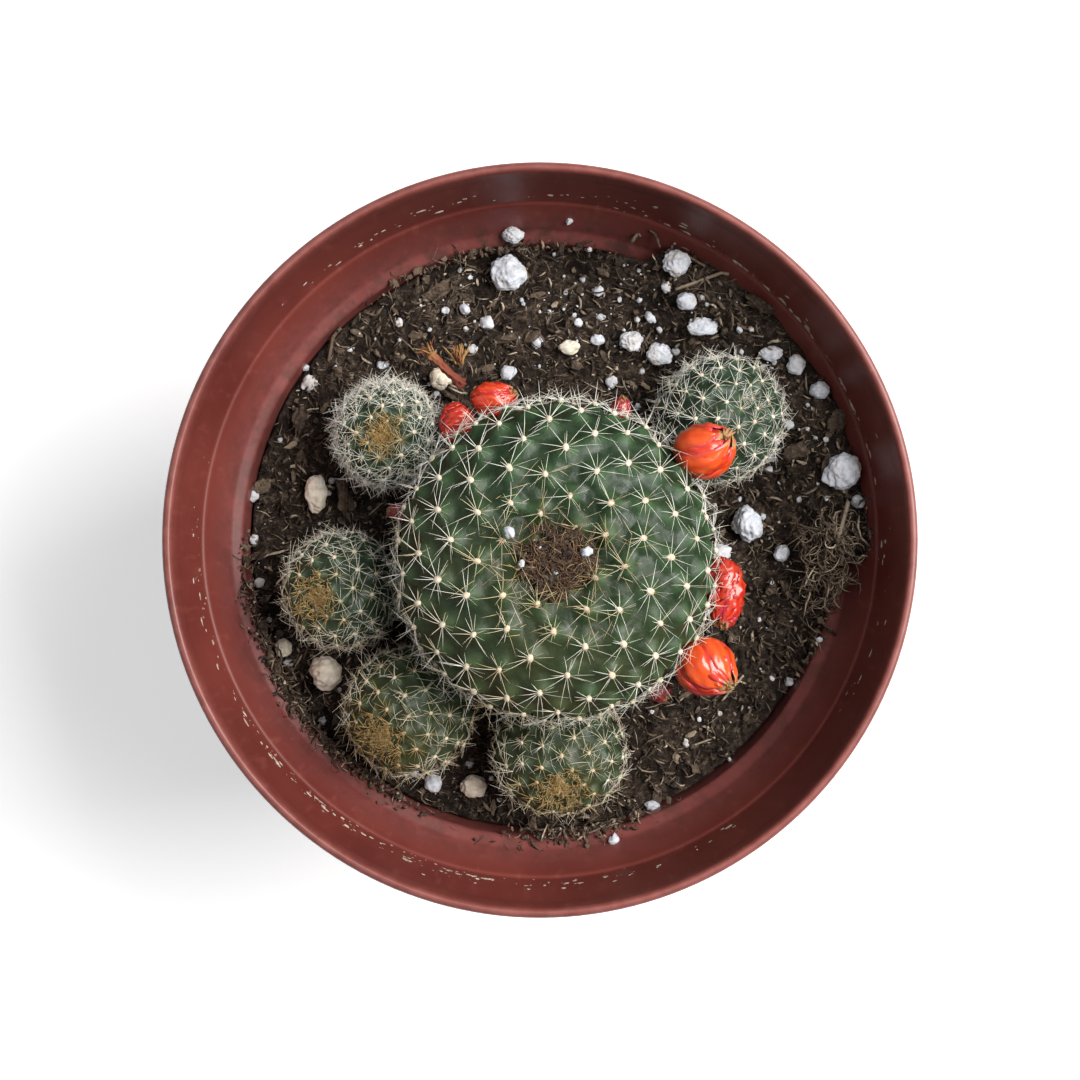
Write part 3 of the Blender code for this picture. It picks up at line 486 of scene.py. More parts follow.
def add_pot():
    section = (
        (30.0, 2.4), (34.8, 2.4), (35.6, 3.6), (43.8, 65.9), (44.0, 66.2), (45.6, 67.2),
        (48.45, 72.75), (48.95, 73.05), (50.75, 81.5), (51.1, 84.5), (51.45, 85.0), (52.1, 85.0), (52.5, 84.5), (52.5, 82.7),
        (51.8, 82.0), (50.0, 73.0), (48.1, 66.4), (47.1, 65.6), (45.1, 64.8), (37.2, 3.6), (36.9, 2.0),
        (36.4, 0.0), (33.2, 0.0), (32.9, 1.2), (30.0, 1.2),
    )
    points = rounded(section, 0.4)
    sides = 176
    turn = 2 * math.pi * np.arange(sides) / sides
    rings = [np.stack([r * np.cos(turn), r * np.sin(turn), np.full(sides, z)], -1) for r, z in points]
    verts = np.concatenate([[(0.0, 0.0, 2.4)], *rings, [(0.0, 0.0, 1.2)]])
    pot = piece("pot_shell", verts, closed_grid(len(points), sides), pot_look(), ("pot",), "terracotta_plastic")
    for i in range(6):
        angle = 2 * math.pi * (i + 0.5) / 6
        cutter = drain_cutter((24.0 * math.cos(angle), 24.0 * math.sin(angle)))
        bpy.context.scene.collection.objects.link(cutter)
        hole = pot.modifiers.new("hole", "BOOLEAN")
        hole.operation = "DIFFERENCE"
        hole.object = cutter
        bpy.context.view_layer.update()
        mesh = bpy.data.meshes.new_from_object(pot.evaluated_get(bpy.context.evaluated_depsgraph_get()))
        pot.modifiers.clear()
        pot.data = mesh
        bpy.data.objects.remove(cutter)
    pot.data.shade_smooth()
    pot.data.set_sharp_from_angle(angle=math.radians(35))
    paint_pot(pot.data)


def paint_pot(mesh):
    """Where the lip is worn, where minerals have dried, where soil dirt and painted shade darken the wall near the
    soil, and where painted light brightens the band below the crease.
    """
    places = np.zeros(len(mesh.vertices) * 3, np.float32)
    mesh.vertices.foreach_get("co", places)
    x, y, z = places.reshape(-1, 3).T / MM
    radius, azimuth = np.hypot(x, y), np.arctan2(y, x)
    inside = (radius < 45.5 + (z - 66.0) * 0.42) & (z > 60.0)

    def toward(direction, width):
        off = np.abs((azimuth - math.radians(direction) + math.pi) % (2 * math.pi) - math.pi)
        return np.exp(-((off / math.radians(width)) ** 2))

    crease = np.exp(-(((z - 73.2) / 0.7) ** 2))
    collar = np.exp(-(((z - 77.5) / 3.2) ** 2))
    crust = crease * (0.2 + 0.26 * toward(40, 28) + 0.2 * toward(100, 25) + 0.18 * toward(250, 40))
    crust += collar * (0.1 + 0.2 * toward(185, 16) + 0.14 * toward(245, 38) + 0.16 * toward(350, 22))
    rim = np.exp(-(((radius - 51.8) / 0.8) ** 2)) * (z > 83.9)
    # painted light on the band below the crease
    painted_shelf_light = inside * np.clip((73.0 - z) / 0.4, 0.0, 1.0)
    # soil dirt and painted shade at the foot of the inner wall
    dirt_and_shade = inside * np.exp(-(((z - 66.5) / 2.4) ** 2)) * (0.45 + 0.4 * toward(60, 60))
    for key, numbers in (("crust", crust * inside), ("rim", rim), ("dirt_and_shade", dirt_and_shade), ("painted_shelf_light", painted_shelf_light)):
        mesh.attributes.new(key, "FLOAT", "POINT").data.foreach_set("value", numbers.astype(np.float32))


def lime_look():
    look = Look("dried_minerals", 0.9)
    colour = look.ramp(look.noise(1500.0, 4.0), (0.3, (0.24, 0.17, 0.13)), (0.7, (0.56, 0.5, 0.43)))
    return look.finish(colour, None, ((look.noise(3000.0, 3.0), 0.8, 0.1),))


# middle and width of a stretch in degrees, number, height above the floor and its spread
MINERALS = ((182, 10, 20, 75.4, 1.0), (222, 20, 100, 74.6, 0.8), (262, 16, 50, 74.8, 1.0), (290, 12, 20, 76.0, 1.5),
            (42, 18, 100, 73.5, 0.3), (60, 26, 26, 75.5, 1.5), (112, 20, 44, 75.6, 0.9), (350, 14, 26, 76.5, 2.0))


def add_minerals():
    """Dried flakes on the inside of the collar, mostly along its crease."""
    draw = random.Random(16)
    shapes = [lump(1, 400 + seed, 0.6, 1.7) for seed in range(12)]
    heap = Heap()
    for middle, width, number, level, scatter in MINERALS:
        for i in range(number):
            azimuth = math.radians(draw.gauss(middle, width))
            up = max(level + draw.gauss(0.0, scatter), 73.15)
            radius = 48.95 + (up - 73.05) * 0.213 - 0.02
            out = np.array((math.cos(azimuth), math.sin(azimuth), 0.0))
            along = np.array((-math.sin(azimuth), math.cos(azimuth), 0.0))
            size = min(0.05 + draw.expovariate(10.0), 0.42)
            body = shapes[i % 12][0] * (draw.uniform(0.8, 2.4), draw.uniform(0.5, 1.0), 0.25) * size
            rise = 0.21 * out + np.array((0.0, 0.0, 0.98))
            place = out * radius + np.array((0.0, 0.0, up))
            heap.add(place + body[:, :1] * along + body[:, 1:2] * rise - body[:, 2:] * out, shapes[i % 12][1], tone=0.0)
    heap.made("dried_minerals", lime_look(), slot="terracotta_plastic", sharp=30)


# ---------------------------------------------------------------- soil

def smooth(value):
    value = min(max(value, 0.0), 1.0)
    return value * value * (3.0 - 2.0 * value)


def soil_height(x, y):
    """The soil's main form, as in the solid."""
    azimuth, radius = math.atan2(y, x), math.hypot(x, y)
    off = abs((azimuth - math.radians(33.0) + math.pi) % (2.0 * math.pi) - math.pi)
    lap = smooth((math.radians(44.0) - off) / math.radians(24.0) + 0.5)
    height = 64.0 + 0.5 * smooth((24.0 - radius) / 12.0)
    edge = smooth((radius - 33.0) / 11.0)
    height += edge * (6.8 * lap - 0.4)
    height -= edge * 1.3 * max(math.cos(azimuth - math.radians(238.0)), 0.0)
    height += 0.8 * noise.noise(Vector((x, y, 3.0)) * 0.11)
    height += 0.45 * noise.noise(Vector((x, y, 9.0)) * 0.43)
    away = ((x - 42.0) / 3.4) ** 2 + ((y + 2.6) / 6.0) ** 2
    return height + 2.6 * math.exp(-(away ** 1.5))


def ground(x, y):
    """Height of the crumbly surface."""
    place = Vector((x, y, 0.0))
    rough = 0.9 * noise.fractal(place * 0.55, 0.7, 2.3, 4) + 0.5 * abs(noise.noise(place * 1.9))
    return soil_height(x, y) + rough - 0.1


def soil_reach(azimuth):
    """How far the soil's top reaches, with its height there and the heights under its edge."""
    x, y = math.cos(azimuth), math.sin(azimuth)
    step = 2.0 * math.pi / 48
    lowest = min(soil_height(44.0 * math.cos(azimuth + k * step), 44.0 * math.sin(azimuth + k * step))
                 for k in (-1, 0, 1))
    lap = smooth((lowest - 66.2 - 0.9) / 1.6)

    def wall(height):
        return 35.6 + 8.2 * (height - 3.6) / 62.3

    reach = wall(min(soil_height(44.0 * x, 44.0 * y), 66.2)) - 0.38
    reach += (45.7 - reach) * lap
    top = soil_height(x * reach, y * reach)
    outer = reach + max(46.8 + 2.1 * (top - 68.0) / 5.0 - 46.2, 0.0) * lap
    low = min(66.55, top - 0.9)
    tongue = max(low + 0.35, 66.6 + 0.8 / 2.3 * (reach - 44.0)) if lap > 0.0 else low + 0.35
    return reach, outer, max(top, tongue + 0.4), low, tongue, min(wall(low) - 0.38, 43.4)


def add_soil():
    sides, rows = 300, 90
    rings = [[] for _ in range(rows + 4)]
    for i in range(sides):
        azimuth = 2 * math.pi * i / sides
        x, y = math.cos(azimuth), math.sin(azimuth)
        reach, outer, top, low, tongue, wall = soil_reach(azimuth)
        for ring, radius, height in ((0, 34.3, 2.7), (1, 35.3, 4.0), (2, wall, low), (3, reach - 0.25, tongue)):
            rings[ring].append((x * radius, y * radius, height))
        for row in range(rows):
            radius = outer * (1.0 - row / rows)
            height = top if row == 0 else ground(x * radius, y * radius)
            rings[4 + row].append((x * radius, y * radius, height))
    verts = [(0.0, 0.0, 2.7)] + [point for ring in rings for point in ring] + [(0.0, 0.0, ground(0.0, 0.0))]
    piece("soil_bed", verts, closed_grid(len(rings), sides), soil_look(), ("soil",), "peat")


def clear_of_heads(x, y, room=0.8):
    for _, centre, radius, *_ in HEADS:
        if math.hypot(x - centre[0], y - centre[1]) < radius * room:
            return False
    return True


def soil_spot(draw, inner=0.0, room=0.8):
    """A random place on the soil in view."""
    while True:
        azimuth, radius = draw.uniform(0, 2 * math.pi), 47.0 * math.sqrt(draw.uniform(inner, 1.0))
        x, y = radius * math.cos(azimuth), radius * math.sin(azimuth)
        if radius < soil_reach(azimuth)[1] - 0.6 and clear_of_heads(x, y, room):
            return x, y


def curl(draw, x, y, z, length, lift=0.5, steps=6, wander=0.6):
    """A bent path that lies on the soil about a place."""
    heading = draw.uniform(0, 2 * math.pi)
    bend = draw.uniform(-wander, wander)
    rise = draw.uniform(-0.35, 0.35)
    points = []
    px, py, pz = x, y, z
    for i in range(steps):
        points.append((px, py, pz + lift * math.sin(math.pi * i / (steps - 1)) * draw.uniform(0.4, 1.0)))
        heading += bend + draw.uniform(-0.3, 0.3)
        step = length / (steps - 1)
        px, py, pz = px + step * math.cos(heading), py + step * math.sin(heading), pz + step * rise * 0.5
    return points


def ledge(radius):
    """Height of the pot's inner face at a radius above the soil's edge."""
    return float(np.interp(radius, (44.0, 45.6, 48.45, 48.95), (66.2, 67.2, 72.75, 73.05)))


def spill(draw):
    """A random place on the ledge beside the soil."""
    middle, width, spread = draw.choice(((200, 9, 0.8), (214, 9, 1.0), (230, 9, 0.8), (277, 8, 1.2), (98, 13, 0.5),
                                         (350, 8, 0.5)))
    azimuth = math.radians(draw.gauss(middle, width))
    radius = min(soil_reach(azimuth)[1] - 0.3 + min(abs(draw.gauss(0, spread)), 3.0), 48.2)
    return radius * math.cos(azimuth), radius * math.sin(azimuth), max(ledge(radius), 66.2)


def add_crumbs():
    draw = random.Random(11)
    shapes = [lump(1, seed, 0.6, 1.5) for seed in range(24)]
    rocks = [lump(2, 40 + seed, 0.7, 1.9) for seed in range(12)]
    heap = Heap()
    for i in range(4400):
        if i % 5:
            x, y = soil_spot(draw)
            z = ground(x, y)
        else:
            x, y, z = spill(draw)
            z += draw.uniform(0.0, 0.5)
        size = min(0.1 + draw.expovariate(6.0), 1.1 if i % 5 else 0.6)
        verts, faces = rocks[i % 12] if size > 0.72 else shapes[i % 24]
        scale = (draw.uniform(0.7, 1.6), draw.uniform(0.5, 1.0), draw.uniform(0.4, 0.9))
        body = turned(verts * scale, draw, 0.9) * size
        place = (x, y, z + size * draw.uniform(0.05, 0.5))
        heap.add(body + place, faces, tone=min(max(draw.gauss(0.36, 0.27), 0.0), 0.98 if size < 0.5 else 0.55))
    heap.made("soil_crumbs", LOOKS["shreds"], slot="peat", sharp=28)


def add_fibres():
    draw = random.Random(12)
    paths, radii, tones = [], [], []
    for i in range(5400):
        if i % 7:
            x, y = soil_spot(draw)
            z = ground(x, y)
        else:
            x, y, z = spill(draw)
        length = min(0.6 + draw.expovariate(1.1), 5.0)
        paths.append(curl(draw, x, y, z + draw.uniform(0.05, 0.8), length, 0.45, 4, 0.5))
        thick = draw.choice((0.04, 0.06, 0.09, 0.14, 0.24)) * draw.uniform(0.8, 1.2)
        radii.append([thick * share for share in (0.6, 1.0, 0.9, 0.3)])
        tones.append(min(max(draw.gauss(0.55, 0.27), 0.0), 1.0))
    clip_inside(paths)
    verts, faces = strands(paths, radii, 3, 0.45)
    piece("soil_fibres", verts, faces, LOOKS["shreds"], slot="peat", values={"tone": np.repeat(tones, 12)})


def clip_inside(paths):
    """Keeps the points of paths inside the pot."""
    for path in paths:
        for i, (x, y, z) in enumerate(path):
            radius, limit = math.hypot(x, y), 43.2 if z < 66.5 else 45.8 + (z - 67.0) * 0.4
            if radius > limit:
                path[i] = (x * limit / radius, y * limit / radius, z)


def add_flakes():
    """Chips of bark and husk."""
    draw = random.Random(13)
    shapes = [lump(2, 80 + seed, 0.7, 1.6) for seed in range(8)]
    heap = Heap()
    for i in range(240):
        x, y = soil_spot(draw)
        size = draw.uniform(0.3, 0.8)
        scale = (draw.uniform(0.9, 1.8), draw.uniform(0.3, 0.7), draw.uniform(0.15, 0.35))
        verts, faces = shapes[i % 8]
        body = turned(verts * scale, draw, 0.7) * size
        heap.add(body + (x, y, ground(x, y) + 0.25 * size + 0.2), faces, tone=min(max(draw.gauss(0.5, 0.2), 0.05), 0.9))
    for px, py, long, wide, turn, tone in ((345, 500, 3.6, 1.5, 100, 0.72), (262, 487, 2.2, 1.4, 30, 0.8),
                                           (440, 290, 3.2, 1.6, 30, 0.62), (452, 300, 2.2, 1.0, 60, 0.5),
                                           (760, 305, 3.0, 1.2, 150, 0.45), (800, 450, 3.4, 1.5, 20, 0.4),
                                           (840, 420, 2.8, 1.8, 60, 0.55), (300, 420, 2.6, 1.4, 80, 0.5)):
        x, y = at_pixel(px, py, 65.5)
        x, y = at_pixel(px, py, ground(x, y) + 0.8)
        verts, faces = lump(3, px, 0.75, 2.1)
        spin = Matrix.Rotation(math.radians(turn), 3, "Z") @ Matrix.Rotation(0.35, 3, "X")
        body = (verts * (long * 0.72, wide * 0.65, 0.5)) @ np.array(spin).T
        heap.add(body + (x, y, ground(x, y) + 0.8), faces, tone=0.8 * tone)
    heap.made("bark_flakes", LOOKS["shreds"], slot="peat", sharp=35)


def add_straws():
    """Straws, the stick at the right and the wound fibres of the clod."""
    draw = random.Random(14)
    paths, radii, tones = [], [], []
    for px, py, turn, length, thick, tone in ((640, 230, 60, 5.0, 0.3, 0.75), (703, 282, 20, 9.0, 0.28, 0.85),
                                              (655, 240, 110, 3.5, 0.2, 0.6), (690, 262, 150, 4.5, 0.2, 0.7),
                                              (838, 522, 75, 6.0, 0.35, 0.8), (620, 855, 10, 5.0, 0.25, 0.6),
                                              (735, 690, 50, 5.0, 0.18, 0.95), (705, 745, 20, 4.0, 0.18, 0.9),
                                              (540, 835, 5, 6.0, 0.25, 0.5), (330, 340, 80, 6.0, 0.3, 0.6)):
        x, y = at_pixel(px, py, 68.0)
        z = ground(x, y) + 1.0
        lean = math.radians(turn)
        step = np.linspace(-0.5, 0.5, 6) * length
        paths.append([(x + s * math.cos(lean), y + s * math.sin(lean), z + draw.uniform(-0.1, 0.25)) for s in step])
        radii.append([thick] * 6)
        tones.append(tone)
    for _ in range(260):
        turn = draw.uniform(0, 2 * math.pi)
        share = math.sqrt(draw.uniform(0, 1))
        x, y = 41.8 + 3.2 * share * math.cos(turn), -2.6 + 6.2 * share * math.sin(turn)
        path = curl(draw, x, y, soil_height(x, y) + draw.uniform(0.1, 1.2), draw.uniform(2.0, 5.5), 0.8, 6, 0.9)
        paths.append(path)
        thick = draw.uniform(0.05, 0.15)
        radii.append([thick * share for share in (0.6, 1.0, 1.0, 0.9, 0.7, 0.4)])
        tones.append(min(max(draw.gauss(0.6, 0.2), 0.1), 0.95))
    clip_inside(paths)
    verts, faces = strands(paths, radii, 4, 0.6)
    piece("straws_and_clod", verts, faces, LOOKS["shreds"], slot="peat", values={"tone": np.repeat(tones, 24)})


# Smaller grains in view: place in the photograph, size in its pixels
GRAINS = (
    (570, 220, 8), (703, 298, 5), (708, 304, 5), (465, 309, 12), (487, 323, 14), (473, 349, 10), (538, 342, 14),
    (583, 279, 8), (600, 291, 11), (579, 323, 10), (651, 317, 12), (598, 340, 14), (667, 287, 11), (612, 382, 14),
    (508, 373, 17), (790, 425, 12), (775, 440, 12), (830, 470, 10), (860, 502, 15), (254, 496, 12), (254, 540, 10),
    (260, 583, 10), (309, 384, 17), (306, 368, 8), (382, 365, 11), (289, 663, 10), (413, 769, 14), (654, 807, 14),
    (614, 840, 12), (789, 682, 10), (810, 580, 9), (640, 300, 6), (522, 300, 5), (620, 300, 6),
    (550, 312, 5), (604, 318, 6), (430, 330, 5), (420, 300, 5), (740, 330, 7), (742, 352, 6), (660, 330, 7),
    (640, 340, 8), (676, 352, 9), (800, 500, 6), (820, 640, 6), (760, 620, 5), (770, 470, 8), (740, 500, 6),
    (360, 730, 5), (300, 700, 6), (340, 690, 5), (500, 800, 6), (560, 830, 6), (700, 720, 5), (730, 760, 5),
    (270, 620, 6), (280, 440, 7), (330, 420, 5), (350, 350, 6), (400, 340, 5), (460, 270, 6), (640, 270, 5),
    (555, 255, 5), (590, 250, 5), (720, 380, 9), (735, 395, 7), (705, 372, 8), (812, 410, 6), (826, 440, 6),
)


def add_grains():
    heap = Heap()
    draw = random.Random(15)
    for number, (px, py, wide) in enumerate(GRAINS):
        size = wide / PIXELS_PER_MM / 2.0 * 1.06
        x, y = at_pixel(px, py, 66.0)
        x, y = at_pixel(px, py, ground(x, y) + size)
        verts, faces = lump(3 if wide > 9 else 2, 120 + number, 0.3, 1.3)
        scale = (draw.uniform(0.85, 1.15), draw.uniform(0.75, 1.0), draw.uniform(0.65, 0.9))
        height = ground(x, y)
        if math.hypot(x, y) > 43.5 and height < 67.5:
            x, y = at_pixel(px, py, 71.0 if math.hypot(x, y) > 46.5 else 66.9)
            height = max(ledge(math.hypot(x, y)), 66.9)
        heap.add(turned(verts * scale, draw, 0.5) * size + (x, y, height + 0.45 * size), faces, tone=draw.uniform(0, 0.25))
    for i in range(330):
        if i % 3:
            x, y = soil_spot(draw)
        else:
            px, py, spread = draw.choice(((600, 325, 40), (640, 300, 50), (770, 440, 28), (735, 385, 26), (500, 290, 50)))
            x, y = at_pixel(draw.gauss(px, spread), draw.gauss(py, 0.5 * spread), 66.0)
            if not clear_of_heads(x, y) or math.hypot(x, y) > 45.0:
                continue
        size = min(0.09 + draw.expovariate(7.0), 0.6)
        verts, faces = lump(2 if size > 0.3 else 1, draw.randrange(50), 0.55)
        heap.add(turned(verts, draw) * size + (x, y, ground(x, y) + 0.35), faces, tone=draw.uniform(0, 0.4))
    heap.made("small_grains", LOOKS["perlite"], slot="perlite", sharp=35)


def add_stones():
    """Each node's stone again, finer, in its own box."""
    nodes = [row["node"] for row in frame["record"]["subparts"]]
    for number, name in enumerate(node for node in nodes if node.startswith(("perlite", "pebble"))):
        low, high = (np.array(corner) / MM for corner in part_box(name))
        stone = name.startswith("pebble")
        verts, faces = lump(5 if max(high - low) > 3.4 else 4, 7.0 + number, 0.24, 1.2)
        if not stone:
            pits = [noise.noise(Vector(point) * 5.0 + Vector((number, 0, 0))) for point in BALLS[5][0]] \
                if len(verts) == len(BALLS[5][0]) else [noise.noise(Vector(point) * 4.0) for point in BALLS[4][0]]
            verts = verts * (1.0 + 0.09 * np.array(pits))[:, None]
        own_low, own_high = verts.min(0), verts.max(0)
        verts = (verts - own_low) / (own_high - own_low) * (high - low) + low
        verts[:, 2] -= 0.35
        look, slot = ("pebble", "pebble") if stone else ("perlite", "perlite")
        tone = np.full(len(verts), 0.0 if number % 4 else 0.25)
        piece(name + "_grain", verts, faces, LOOKS[look], (name,), slot, {"tone": tone})


# ---------------------------------------------------------------- heads

class Head:
    """A head's smooth outline, as in the solids."""

    def __init__(self, name, centre, radius, wide, top, low, direction, lean, stem, length, sink, sink_width):
        self.name, self.centre, self.radius, self.wide = name, np.array(centre), radius, wide
        self.top, self.low, self.stem, self.length = top, low, stem, length
        self.sink, self.sink_width = sink, sink_width
        turn = math.radians(direction)
        axis = Vector((-math.sin(turn), math.cos(turn), 0.0))
        both = Matrix.Rotation(math.radians(lean), 4, axis) @ Matrix.Rotation(turn, 4, "Z")
        self.spin = np.array(both.to_3x3())
        polar = math.pi
        while self.ball(np.array([polar]))[0][0] < stem:
            polar -= 0.01
        self.stem_polar = polar

    def ball(self, polar):
        across, up = np.abs(np.sin(polar)), np.cos(polar)
        square = (across ** 2.3 + np.abs(up) ** 2.3) ** (-1 / 2.3)
        height = np.where(up > 0, self.top, self.low) * up * square
        radius = self.radius * across * square
        return radius, height - np.where(up > 0, self.sink * np.exp(-((radius / self.sink_width) ** 2)), 0.0)

    def section(self, polar):
        radius, height = self.ball(np.minimum(polar, self.stem_polar))
        along = np.clip((polar - self.stem_polar) / (math.pi - self.stem_polar), 0.0, 1.0)
        narrowed = np.where(along < 0.7, self.stem, self.stem * (1.0 - along) / 0.3)
        down = height - self.length * np.minimum(along / 0.7, 1.0)
        below = polar > self.stem_polar
        return np.where(below, narrowed, radius), np.where(below, down, height)

    def points(self, polar, azimuth, lift=0.0):
        """Places, outward directions, and directions away from the crown."""
        radius, height = self.section(polar)
        before = self.section(np.maximum(polar - 0.02, 0.0))
        after = self.section(np.minimum(polar + 0.02, math.pi))
        slope = unit(np.stack([before[1] - after[1], after[0] - before[0]], -1))
        around = np.stack([np.cos(azimuth), np.sin(azimuth), np.zeros_like(azimuth)], -1)
        up = np.array((0.0, 0.0, 1.0))
        normal = unit(around * slope[:, :1] + up * slope[:, 1:])
        away = unit(around * slope[:, 1:] - up * slope[:, :1])
        place = around * radius[:, None] + up * height[:, None] + normal * np.asarray(lift)[..., None]
        place[:, 1] *= self.wide
        return place @ self.spin.T + self.centre, unit(normal @ self.spin.T), unit(away @ self.spin.T)

    def areoles(self, count, reach):
        share = ((np.arange(count) + 0.5) / count) ** 1.25
        polar = np.arccos(1.0 - (1.0 - math.cos(math.radians(reach))) * share)
        return polar, (np.arange(count) * GOLDEN_ANGLE) % (2 * math.pi)


# name, areoles, reach, tubercle height, (spines per areole), spine length, thickness, flesh, tone at the
# crown, width of that tone in degrees, tone elsewhere
DRESS = {
    "main_head": (176, 140, 1.2, (10, 14), 4.7, 0.055, "main_flesh", 0.6, 24, 0.06),
    "offset_upper_left": (84, 128, 0.5, (14, 18), 2.8, 0.042, "pup_flesh", 1.0, 24, 0.03),
    "offset_upper_right": (88, 128, 0.5, (11, 15), 2.9, 0.044, "pup_flesh", 0.2, 24, 0.04),
    "offset_left": (80, 128, 0.5, (11, 14), 2.8, 0.044, "pup_flesh", 0.95, 28, 0.18),
    "offset_lower_left": (84, 128, 0.5, (10, 13), 2.8, 0.044, "pup_flesh", 1.0, 30, 0.22),
    "offset_bottom": (84, 128, 0.5, (10, 13), 2.7, 0.046, "pup_flesh", 0.9, 30, 0.2),
}


AGE = {"main_head": 0.22, "offset_upper_left": 0.1, "offset_upper_right": 0.0, "offset_left": 0.25,
       "offset_lower_left": 0.8, "offset_bottom": 0.6}
SPINE_STEPS = (0.0, 0.4, 0.75, 1.0)
SPINE_TAPER = (1.0, 0.85, 0.5, 0.12)


def swellings(places, tips, away):
    """For each place: the height of the soft swellings about the tips, how far below their middles it lies,
    and how far the nearest tip is."""
    between = np.sort(np.linalg.norm(tips[:, None] - tips[None], axis=2), axis=1)[:, 1:5].mean(1)
    height, below, near = np.empty((3, len(places)))
    for start in range(0, len(places), 8000):
        part = slice(start, start + 8000)
        offset = places[part, None] - tips[None]
        apart = np.linalg.norm(offset, axis=2)
        share = np.exp(-((apart / (0.45 * between)) ** 2))
        lower = np.einsum("ijk,ik->ij", offset, away[part]) / (0.5 * between)
        height[part] = np.clip((share.sum(1) - 0.5) / 0.55, 0.0, 1.0)
        below[part] = (share * lower).sum(1) / (share.sum(1) + 1e-6)
        near[part] = apart.min(1)
    return height, below, near


def dress_age(places, head):
    """How olive the skin and how yellow the spines are: more towards the photograph's lower left."""
    off = (places - head.centre)[..., :2] / 22.0
    return AGE[head.name] - 0.55 * off[..., 1] - 0.3 * off[..., 0]


def add_flesh(head, count, reach, relief, look):
    main = head.name == "main_head"
    rows, columns = (180, 270) if main else (80, 112)
    polars = np.concatenate([np.linspace(0.012, head.stem_polar, rows - 6),
                             np.linspace(head.stem_polar + 0.02, math.pi - 0.02, 6)])
    azimuths = 2 * math.pi * np.arange(columns) / columns
    polar, azimuth = (grid.ravel() for grid in np.meshgrid(polars, azimuths, indexing="ij"))
    polar = np.concatenate([[0.0], polar, [math.pi]])
    azimuth = np.concatenate([[0.0], azimuth, [0.0]])
    base, normal, away = head.points(polar, azimuth)
    height, below, near = swellings(base, head.points(*head.areoles(count, reach))[0], away)
    relief = relief * (1.0 - 0.2 * np.exp(-((polar / math.radians(34.0)) ** 2)))
    reached = 1.0 / (1.0 + np.exp((polar - math.radians(reach + 4)) / 0.06))
    lift = -relief * (1.0 - height) * reached + 0.2 * np.exp(-((near / 0.8) ** 2)) * reached
    lift += 0.12 * np.array([noise.noise(Vector(place) * 0.9) for place in base])
    foot = np.clip((polar - math.radians(reach - 12)) / math.radians(22), 0.0, 1.0)
    verts = head.points(polar, azimuth, lift)[0]
    age = np.clip(dress_age(verts, head), 0.0, 1.0)
    values = {"groove": height, "side": below, "foot": foot, "age": age}
    slot = "main_skin" if main else "offset_skin"
    piece(head.name + "_flesh", verts, closed_grid(rows, columns), LOOKS[look], (head.name,), slot, values)


def crown_tone(head, polar, dress, draw):
    tone_top, tone_width, tone_rest = dress[7:]
    top = tone_top * math.exp(-((math.degrees(polar) / tone_width) ** 2))
    return min(max(top + tone_rest + draw.gauss(0.0, 0.07), 0.0), 1.0)


def add_areoles_and_spines(head, dress, seed):
    count, reach, _, spines, length, thick, *_ = dress
    draw = random.Random(seed)
    main = head.name == "main_head"
    polars, azimuths = head.areoles(count, reach)
    places, normals, aways = head.points(polars, azimuths, np.full(count, 0.16))
    dome, dome_faces = BALLS[2]
    pads = Heap()
    paths, radii, tones = [], [], []
    for i in range(count):
        place, normal, away = places[i], normals[i], aways[i]
        if place[2] < 64.5:
            continue
        across = np.cross(normal, away)
        tone = crown_tone(head, polars[i], dress, draw)
        tone = min(max(tone + 0.3 * dress_age(place, head) - 0.1, 0.0), 1.0)
        small = 1.0 - 0.3 * math.exp(-((math.degrees(polars[i]) / 25.0) ** 2))
        size = (draw.uniform(0.46, 0.6) if main else draw.uniform(0.28, 0.37)) * small
        rough = np.array([1.0 + 0.22 * noise.noise(Vector(point) * 2.2 + Vector((i, 0, 0))) for point in dome])
        body = dome * rough[:, None] * (size * 1.15, size * 0.85, size * 0.7)
        verts = place + body[:, :1] * away + body[:, 1:2] * across + body[:, 2:] * normal
        pads.add(verts, dome_faces, tone=tone * 0.8, side=dome[:, 0])
        number = draw.randint(*spines)
        young = math.exp(-((math.degrees(polars[i]) / 22.0) ** 2))
        for j in range(number):
            central = j < 2
            turn = 2 * math.pi * j / number + draw.uniform(-0.3, 0.3)
            rise = math.radians(draw.uniform(40, 75) if central else draw.uniform(3, 26))
            rise = min(rise + 0.5 * young, 1.45)
            reach_out = length * draw.uniform(0.5, 1.15) * (0.84 + 0.22 * math.cos(turn))
            if central:
                reach_out *= 0.72
            flat = away * math.cos(turn) + across * math.sin(turn)
            aim = flat * math.cos(rise) + normal * math.sin(rise)
            bend = (normal * draw.uniform(-0.16, 0.02) + across * draw.uniform(-0.12, 0.12)) * reach_out
            root = place + flat * size * 0.4
            paths.append([root + aim * reach_out * s + bend * s * s for s in SPINE_STEPS])
            radii.append([thick * draw.uniform(0.8, 1.1) * share for share in SPINE_TAPER])
            tones.append(min(max(tone + draw.gauss(0.0, 0.1), 0.0), 1.0))
    if head.name not in ("main_head", "offset_upper_right"):
        add_crown_disc(head, dress, pads)
    add_crown_tuft(head, dress, draw, paths, radii, tones)
    add_wool(head, dress, draw, paths, radii, tones)
    paths = np.array(paths)
    keep_up(paths)
    verts, faces = strands(paths, radii)
    piece(head.name + "_spines", verts, faces, LOOKS["spines"], (head.name,), None, {"tone": np.repeat(tones, 12)})
    pads.made(head.name + "_areoles", LOOKS["felt"], replaces=(head.name,))


def keep_up(paths):
    """Keeps spines out of the soil and the wall."""
    radius = np.hypot(paths[..., 0], paths[..., 1])
    limit = np.where(paths[..., 2] > 67.5, 46.0 + (paths[..., 2] - 67.5) * 0.42, 43.2)
    shrink = np.minimum(1.0, limit / radius)
    paths[..., 0] *= shrink
    paths[..., 1] *= shrink
    paths[..., 2] = np.maximum(paths[..., 2], 63.6)


